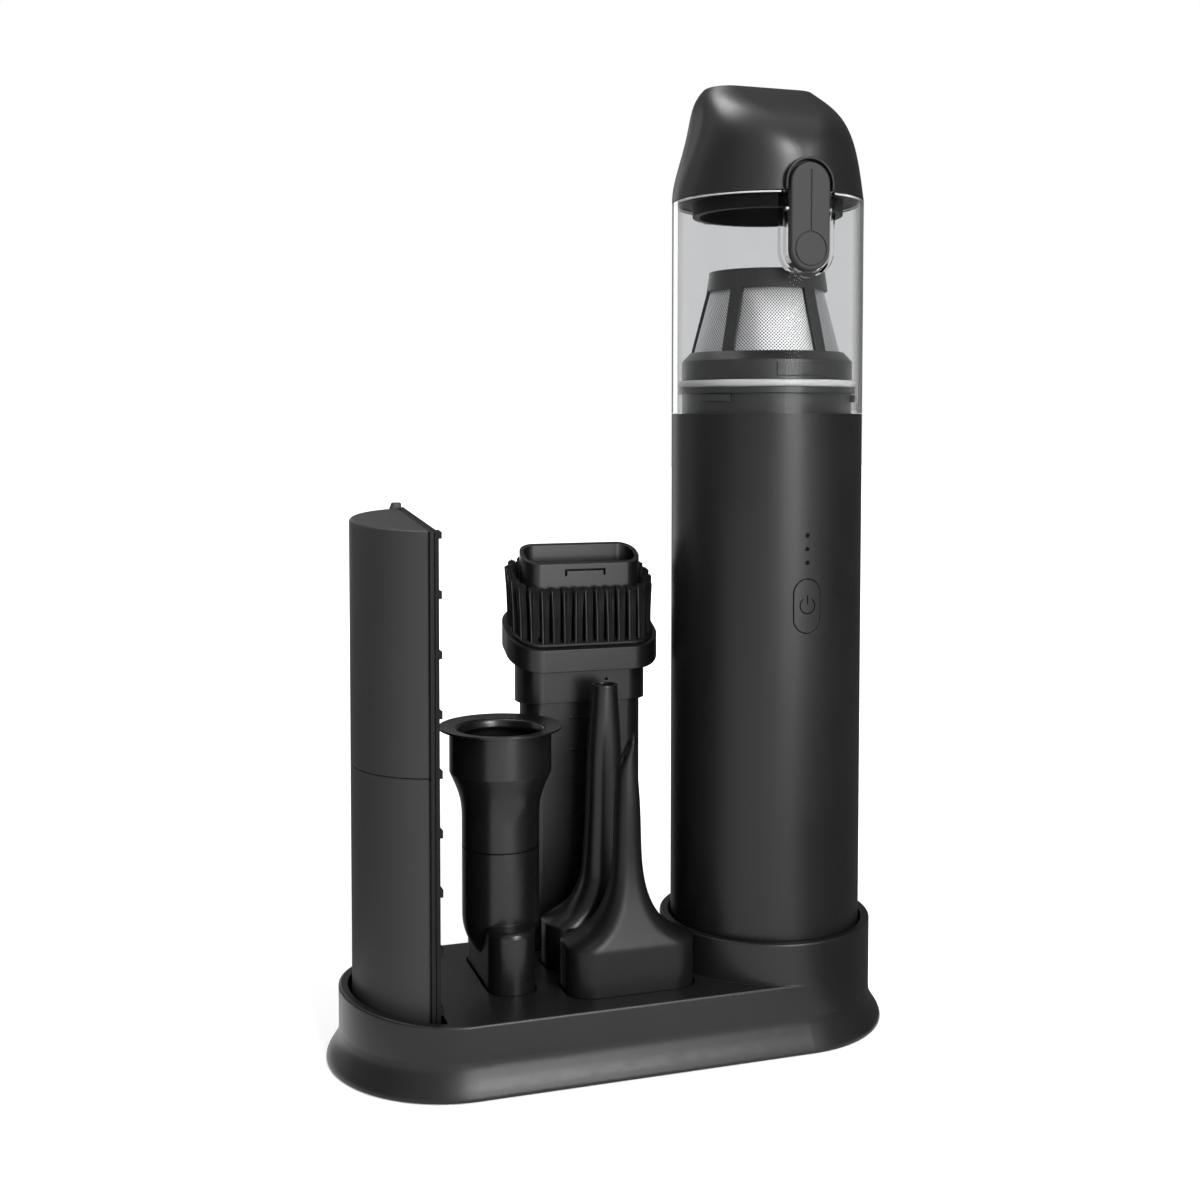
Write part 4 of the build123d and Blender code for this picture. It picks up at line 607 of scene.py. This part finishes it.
plane("floor", [(-6, -6, 0), (6, -6, 0), (6, 6, 0), (-6, 6, 0)], floor_material())

CAMERA_TURN = -109.0  # direction from the object to the camera, degrees from +X
CARD_DISTANCE, CARD_HEIGHT = 1.4, 2.4
ONLY_REFLECTED = {"camera": False, "transmission": False, "shadow": False, "diffuse": False}


def around(angle, distance, height, centre=(0.02, 0.0)):
    """Point round the object: angle from the camera, positive to the picture's right."""
    turn = math.radians(CAMERA_TURN + angle)
    return Vector((centre[0] + distance * math.cos(turn), centre[1] + distance * math.sin(turn), height))


def card(name, first, last, level):
    """Upright dark card between two angles round the object."""
    spots = ((first, 0), (last, 0), (last, CARD_HEIGHT), (first, CARD_HEIGHT))
    corners = [around(angle, CARD_DISTANCE, height) for angle, height in spots]
    plane(name, corners, card_material(name, level), **ONLY_REFLECTED)


for name, first, last, level in (
    ("card_front", -6, -44, 0.68),
    ("card_left", -44, -75, 0.28),
    ("card_left_mid", -75, -100, 0.3),
    ("card_left_far", -100, -125, 0.7),
    ("card_back_left", -125, -150, 0.2),
    ("card_back", -150, -185, 0.15),
    ("card_back_right", 175, 145, 0.08),
    ("card_right_far", 145, 115, 0.06),
    ("card_right", 115, 88, 0.1),
    ("card_right_near", 88, 62, 0.15),
):
    card(name, first, last, level)


def mat(name, corners, level):
    """Dark sheet lying on the floor beside the object, seen only in reflections."""
    spots = [(x, y, 0.0002) for x, y in corners]
    plane(name, spots, card_material(name, level), **ONLY_REFLECTED)


FOOT_R = 0.0425  # just outside the dock's foot
turns = [math.radians(turn) for turn in range(-50, 51, 10)]
foot = [(AXIS_X * MM + FOOT_R * math.cos(turn), FOOT_R * math.sin(turn)) for turn in turns]
mat("mat_right", [(0.12, -0.6), *foot, (0.12, 1.2), (1.5, 1.2), (1.5, -0.6)], 0.05)
mat("mat_back", ((-1.5, 0.06), (0.12, 0.06), (0.12, 1.2), (-1.5, 1.2)), 0.2)
mat("mat_left", ((-1.5, -0.5), (-0.14, -0.1), (-0.14, 0.06), (-1.5, 0.06)), 0.5)


def lamp(name, place, target, size, power):
    """Soft box that shines from its place towards a target."""
    data = bpy.data.lights.new(name, "AREA")
    data.shape = "RECTANGLE"
    data.size, data.size_y = size
    data.energy = power
    made = bpy.data.objects.new(name, data)
    made.location = place
    made.rotation_euler = (Vector(target) - Vector(place)).to_track_quat("-Z", "Y").to_euler()
    made.visible_camera = False
    bpy.context.scene.collection.objects.link(made)


lamp("key_right", around(28, 1.25, 0.57), around(0, 0, 0.57), (0.42, 1.1), 15)
lamp("overhead", (-0.17, 0.4, 1.35), (0.0, 0.0, 0.1), (0.6, 0.4), 7)
lamp("rim_left", around(-152, 1.1, 0.35), around(0, 0, 0.35), (0.35, 0.7), 0.8)
lamp("key_top", around(35, 1.15, 1.2), (0.03, -0.03, 0.1), (0.4, 0.4), 15)

world = bpy.data.worlds.new("studio")
bpy.context.scene.world = world
world.use_nodes = True
tree = world.node_tree
ground = tree.nodes["Background"]
ground.inputs["Color"].default_value = (1, 1, 1, 1)
seen = seen_rays(tree.nodes, tree.links)
level = arithmetic(tree.nodes, tree.links, "MULTIPLY", seen, 0.5)
level = arithmetic(tree.nodes, tree.links, "ADD", level, 0.5)
tree.links.new(level, ground.inputs["Strength"])

lens = bpy.data.cameras.new("photo_camera")
lens.sensor_width = 36
lens.lens = 44.34
lens.shift_x = 0.0133
lens.shift_y = -0.0907
lens.clip_start = 0.01
eye = bpy.data.objects.new("photo_camera", lens)
eye.location = (-0.16037, -0.46609, 0.20512)
eye.rotation_euler = (math.radians(90 - 2.634), 0, math.radians(-17.875))
bpy.context.scene.collection.objects.link(eye)
bpy.context.scene.camera = eye
bpy.context.scene.view_settings.view_transform = "Standard"
